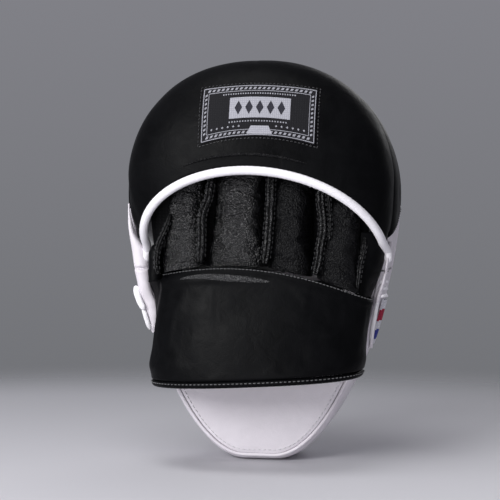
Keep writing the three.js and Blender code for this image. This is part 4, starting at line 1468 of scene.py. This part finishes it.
def cuff():
    """The half tube over the back of the hand: shell, padding, lining, bound hem and stitches."""
    columns, rows, sewn_columns = 120, 40, 12

    def place(u, v):
        return cuff_point(u, v, cuff_detail(u, v), HEM_R + 0.2, gap=0.2)

    made = sheet_grid(place, columns, rows)
    leather_piece = mesh_piece("cuff_leather", *made, BLACK, slot="black_leather")

    def sewn(index):
        row, column = divmod(index, columns + 1)
        return not 2 <= row <= rows - 2 or not sewn_columns <= column <= columns - sewn_columns

    puff(leather_piece, sewn, pressure=2.0, growth=0.0015, cap=0.25)
    solidify(leather_piece, 1.5)
    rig.padded(leather_piece, fill=0.8)
    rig.replaces(leather_piece, "cuff_shell")
    with_cuff(leather_piece)

    # The rolled fold under the knuckle seam is real geometry, and its lighter leather is a painted highlight.
    fold = []
    for i in range(98, 140):
        u, v = i / 200, 0.912 + 0.01 * math.sin(i / 9)
        fold.append(cuff_point(u, v, cuff_detail(u, v) + 0.6, HEM_R + 0.2, 0.2))

    made = sweep(resample(fold, 1.2), closing_section(2.6, 14, 0.45, 0.04))
    with_cuff(refine(mesh_piece("cuff_top_fold", *made, HIGHLIGHT_LEATHER, slot="black_leather")))

    def inside(depth, thickness, name, material, slot, node_name):
        def layer(u, v):
            return cuff_point(u, v, depth + 0.5 * cuff_detail(u, v), HEM_R + 0.8)

        made = mesh_piece(name, *sheet_grid(layer, 60, 16), material, slot=slot)
        solidify(made, thickness)
        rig.replaces(made, node_name)
        return with_cuff(made)

    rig.padded(inside(2.6, 2.0, "cuff_foam", FOAM, "foam", "cuff_padding"), fill=0.8)
    inside(5.4, 0.8, "cuff_lining_cloth", LINING, "lining", "cuff_lining")

    path = [cuff_point(i / 120, 0, HEM_R + 0.3) for i in range(121)]
    hem = tube("cuff_hem", path, HEM_R, BLACK, slot="black_leather", sides=16, pucker=0.02)
    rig.replaces(hem, "cuff_hem_binding")
    with_cuff(hem)
    row = []
    for i in range(4, 117):
        u = i / 120
        out = (cuff_point(u, 0, -1) - cuff_point(u, 0, 0)).normalized()
        row.append((cuff_point(u, 0, HEM_R + 0.3) + out * HEM_R + Vector((0, 0, 0.6)), out))
    with_cuff(stitches("cuff_hem_stitching", [row], GREY_THREAD, slot="black_leather", pitch=2.9, length=1.9,
                       radius=0.3))
    row = []
    for i in range(8, 153):
        u = i / 160
        out = (cuff_point(u, 0.98, -1) - cuff_point(u, 0.98, 0)).normalized()
        row.append((cuff_point(u, 0.985, cuff_detail(u, 0.985), 0, 0.2), out))
    with_cuff(stitches("knuckle_stitching", [row], GREY_THREAD, slot="black_leather", pitch=2.5, length=2.1,
                       radius=0.3, lift=0.2))


# ---------------------------------------------------------------- the white bands, and the tab
def band(name, rows, replaces, seed, lean=1.0, pleats=0.6):
    """A padded white band on the pad's edge: a half-round roll, gathered and seamed across.
    rows are (inner x, outer x, s) from the top down."""
    crown = 5.4

    def at(v):
        place = v * (len(rows) - 1)
        k = min(len(rows) - 2, int(place))
        return [lerp(a, b, place - k) for a, b in zip(rows[k], rows[k + 1])]

    def place(u, v):
        inner, outer, s = at(v)
        around = math.pi * u
        across = (1 - math.cos(around)) / 2
        x = lerp(inner, outer, across)
        end = lerp(0.1, 1, smooth(v, 0, 0.28)) * (1 - smooth(v, 0.93, 1) * 0.75)
        groove = 3.4 * bell(s, SIDE_SEAM, 0.7)
        folds = pleats * ripple(x * 0.3, 0, s, 5, seed) * (1 - smooth(s, 120, 127))
        folds += 0.5 * ripple(x, 0, s, 12, seed + 1)
        high = crown * end * math.sin(around) ** 0.75 * lerp(1, lean, 1 - smooth(s, 104, 124))
        high -= (groove - folds * 0.8) * math.sin(around) ** 0.5
        return bend(x, lerp(2.2, -0.4, smooth(v, 0, 0.2)) - max(0, high), s)

    piece = mesh_piece(name, *sheet_grid(place, 16, 96), WHITE, slot="white_leather")
    solidify(piece, 1.2)
    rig.padded(piece, fill=0.7)
    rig.replaces(piece, *replaces)
    over_crease(piece)

    level = bisect(0, 1, lambda v: at(v)[2] > SIDE_SEAM)
    cross_seam(name + "_seam", [place(i / 20, level) + Vector((0, -0.1, 0)) for i in range(1, 20)], 0.42, 0.8)


def fold_strip(name, line, wide, thick):
    """A flat rounded strip of folded white leather over the points of its line."""
    path = resample([bend(*spot) for spot in line], 1.2)
    made = sweep(path, closing_section(wide / 2, 12, thick / wide, 0.08, 6))
    refine(mesh_piece(name, *made, BINDING, "palm", "white_leather"))


THUMB_BAND = [(-92.0, -93.0, 176), (-91.0, -92.6, 169), (-88.8, -92.0, 162), (-86.6, -91, 156),
              (-82.6, -90, 150), (-79.4, -89, 144.5), (-76.8, -88, 138), (-76.6, -87, 131),
              (-76.0, -85.4, 124), (-74.4, -83.8, 116), (-71.6, -82, 109), (-70.6, -79.4, 101),
              (-71.6, -76.8, 93), (-73.2, -75, 88)]
LITTLE_BAND = [(88.6, 91.4, 152), (88.2, 90.9, 146), (87.4, 90, 139), (86.4, 89, 132), (84.4, 87.6, 125),
               (81.4, 85.4, 118), (80, 83, 110), (78.6, 81.5, 100), (77, 79.9, 90), (75.6, 78.6, 80)]
THUMB_FOLD_UPPER = [(-86.4, -1.2, 121), (-85.2, -3.4, 116), (-82.6, -5.2, 110), (-79.4, -5.8, 104.5)]
THUMB_FOLD_LOWER = [(-81, -3.4, 106.5), (-79, -4.6, 101), (-77.2, -4.2, 95), (-75.8, -2.6, 90.5)]
LITTLE_FOLD = [(82.6, -4.4, 114), (80.6, -5.6, 104), (78.8, -5.4, 94), (77.4, -3.6, 84)]
LITTLE_GATHERS = {"a": 126, "b": 121.5, "c": 116.5}  # the s of each gather


def bands():
    band("thumb_band", THUMB_BAND, ("thumb_side_band", "thumb_side_fold"), 21, lean=0.55)
    band("little_band", LITTLE_BAND, ("little_side_band", "little_side_fold"), 27, pleats=1.5)
    fold_strip("thumb_fold_strip_upper", THUMB_FOLD_UPPER, 4.6, 2.6)
    fold_strip("thumb_fold_strip_lower", THUMB_FOLD_LOWER, 3.4, 2.2)
    for name, s in LITTLE_GATHERS.items():
        line = [(83.6, -3.2, s - 1.2), (85.6, -3.6, s), (88, -0.6, s + 0.2), (88.6, 4, s - 0.8)]
        fold_strip("little_gather_" + name, line, 2.2, 1.2)
    fold_strip("little_fold_strip", LITTLE_FOLD, 3.2, 2.6)


def thumb_side_leather():
    """The glove's black side between the thumb and the cuff, narrowing to a point at the band."""
    def place(u, v):
        s = lerp(132, 92, v)
        outer = lerp(-78.5, -72.5, smooth(132 - s, 0, 24))
        x = lerp(outer, -58, u) + 0.5 * ripple(u * 9, 0, s, 9, 44)
        y = lerp(-1.2, lerp(-20, -15, v), math.sin(u * math.pi / 2) ** 0.8)
        return bend(x, y, s)

    piece = mesh_piece("thumb_side_leather", *sheet_grid(place, 20, 26), BLACK, "palm", "black_leather")
    solidify(piece, 1.2)


RED_STRIPE, BLUE_STRIPE = (98, 106), (85.5, 92)  # in s


def side_tab():
    """A short striped ribbon sewn to the gusset on the little-finger side."""
    def place(u, v, w):
        level = lerp(83, 113, v)
        x, s = rim(level_of(level), -0.3 - 2.4 * math.sin(math.pi * u) ** 0.7 - 0.7 * w)
        return Vector((x, lerp(9, 18, u) + 0.8 * math.sin(v * 7), s))

    made = block_grid(place, 14, 30, 1)
    piece = mesh_piece("side_ribbon", *made, TAB_CLOTH, "palm", "tab_weave", smooth_shade=False)
    piece.data.materials.append(TAB_RED)
    piece.data.materials.append(TAB_BLUE)
    for face in piece.data.polygons:
        s = face.center.z / MM
        red, blue = (low < s < high for low, high in (RED_STRIPE, BLUE_STRIPE))
        face.material_index = 1 if red else 2 if blue else 0
    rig.replaces(piece, "side_tab")


# ---------------------------------------------------------------- under the hand
def palm_bed():
    """The lining of the bed that the palm lies on."""
    def place(u, v, w):
        x, s = lerp(-48, 58, u), lerp(64, 126, v)
        lift = 0.15 * ripple(x, 0, s, 10, 31) if w else 0
        return Vector((x, lerp(-0.2, -1.35, w) + lift, s))

    piece = mesh_piece("palm_bed_cloth", *block_grid(place, 36, 22, 1), LINING, "palm", "lining")
    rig.replaces(piece, "palm_bed_lining")


def grip_pad():
    """The leather dome that fills the hollow of the hand, with a sewn edge."""
    base, centre = -1.9, 96
    profile = [(0, 10.4), (4, 10.2), (8, 9.8), (12, 8.9), (16, 7.3), (18.5, 5.7), (20.2, 4.2), (20.9, 3.0),
               (21.6, 2.4), (21.9, 1.2), (21.6, 0), (0, 0)]

    def place(r, h, turn):
        x, s = r * math.cos(turn), r * math.sin(turn)
        lift = 0.25 * ripple(x, 0, s, 8, 33) if h and 0 < r < 20 else 0
        return Vector((x, base - h + lift, centre + s))

    piece = mesh_piece("grip_dome", *lathe(profile, 64, place, outward=False), GRAINED, "palm",
                       "black_leather")
    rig.padded(piece, fill=0.8)
    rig.replaces(piece, "palm_grip_pad")


# ---------------------------------------------------------------- studio
FLOOR_MIDDLE_Y = -0.45  # in metres, between the mitt and the camera


def floor_material():
    """A pale floor, painted darker from front to back as painted light fall-off, that fades out round the mitt, into
    the backdrop.
    """
    made, tree, shader = surface("studio_floor", Roughness=0.55)
    output = next(n for n in tree.nodes if n.type == "OUTPUT_MATERIAL")
    place = object_place(tree)
    # Painted light fall-off: the floor's colour goes from pale in front of the mitt to darker behind it.
    depth = node(tree, "SeparateXYZ", {0: place})
    share = node(tree, "MapRange", {"Value": depth.outputs["Y"], "From Min": -0.3, "From Max": 0.4})
    colour_by(tree, shader, share.outputs[0], (0.70, 0.69, 0.73), (0.36, 0.36, 0.385))
    away = node(tree, "VectorMath", {0: place, 1: (0.0, FLOOR_MIDDLE_Y, 0.0)}, operation="DISTANCE")
    fade = node(tree, "MapRange", {"Value": away.outputs["Value"], "From Min": 0.74, "From Max": 0.97,
                                   "To Min": 0.0, "To Max": 1.0}, interpolation_type="SMOOTHSTEP")
    clear = node(tree, "BsdfTransparent")
    mix = node(tree, "MixShader", {0: fade.outputs[0], 1: shader.outputs[0], 2: clear.outputs[0]})
    tree.links.new(mix.outputs[0], output.inputs["Surface"])
    return made


def studio():
    mesh = bpy.data.meshes.new("floor")
    size, near, far = 1.6, FLOOR_MIDDLE_Y - 1.6, FLOOR_MIDDLE_Y + 1.6
    corners = [(-size, near, 0), (size, near, 0), (size, far, 0), (-size, far, 0)]
    mesh.from_pydata(corners, [], [(0, 1, 2, 3)])
    mesh.materials.append(floor_material())
    floor = bpy.data.objects.new("floor", mesh)
    bpy.context.scene.collection.objects.link(floor)
    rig.stage(floor)

    world = bpy.data.worlds.new("studio")
    world.use_nodes = True
    bpy.context.scene.world = world
    tree = world.node_tree
    sky = next(n for n in tree.nodes if n.type == "BACKGROUND")
    parts = node(tree, "SeparateXYZ", {0: node(tree, "TexCoord").outputs["Generated"]})
    height = node(tree, "MapRange", {"Value": parts.outputs["Z"], "From Min": -0.2, "From Max": 0.1})
    ramp = blend_colour(tree, height.outputs[0], (0.155, 0.16, 0.17), (0.225, 0.225, 0.25))
    tree.links.new(ramp.outputs[0], sky.inputs["Color"])

    def light(name, place, aim_z, power_w, size_x, size_y):
        """An area light aimed at the mitt's middle, at that height."""
        data = bpy.data.lights.new(name, "AREA")
        data.energy = power_w
        data.shape = "RECTANGLE"
        data.size, data.size_y = size_x, size_y
        made = bpy.data.objects.new(name, data)
        made.location = place
        made.rotation_euler = (Vector((0, 0, aim_z)) - Vector(place)).to_track_quat("-Z", "Y").to_euler()
        bpy.context.scene.collection.objects.link(made)

    light("key", (-0.8, -1.3, 0.8), 0.1, 23, 0.8, 0.7)
    light("top", (-0.2, -0.3, 1.4), 0.15, 7, 0.9, 0.5)
    light("back_fill", (0.6, 1.6, 0.9), 0.15, 5, 0.9, 0.9)
    light("low_fill", (-0.1, -1.5, 0.16), 0.05, 3, 0.5, 0.25)

    view = bpy.context.scene.view_settings
    view.view_transform = "Standard"
    view.look = "None"


def camera():
    """At the photograph's viewing angle, a little to the right of the mitt's middle and above it."""
    azimuth, elevation, away, view_width = math.radians(9), math.radians(4), 1.3, 0.345
    middle_z, aim_left, aim_up, sensor = 0.137, 0.0068, 0.0092, 36
    back = Vector((math.sin(azimuth) * math.cos(elevation), -math.cos(azimuth) * math.cos(elevation),
                   math.sin(elevation)))
    right = Vector((math.cos(azimuth), math.sin(azimuth), 0))
    up = back.cross(right)
    aim = Vector((0, 0, middle_z)) - right * aim_left + up * aim_up
    data = bpy.data.cameras.new("camera")
    data.sensor_width = sensor
    data.lens = sensor * away / view_width
    data.dof.use_dof = False
    made = bpy.data.objects.new("camera", data)
    made.location = aim + back * away
    made.rotation_euler = (-back).to_track_quat("-Z", "Y").to_euler()
    bpy.context.scene.collection.objects.link(made)
    bpy.context.scene.camera = made


camera()
gusset()
strike_cover()
front_piping()
foams()
target_patch()
heel_panel()
finger_panel()
palm_bed()
grip_pad()
bands()
side_tab()
hood()
hood_ridge()
hood_label()
glove()
cuff()
thumb_side_leather()
side_facing()
studio()

with open("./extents.json", "w") as size_file:
    json.dump({"cad": [list(corner) for corner in cad_box], "visual": [list(c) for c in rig.bounds()]}, size_file)
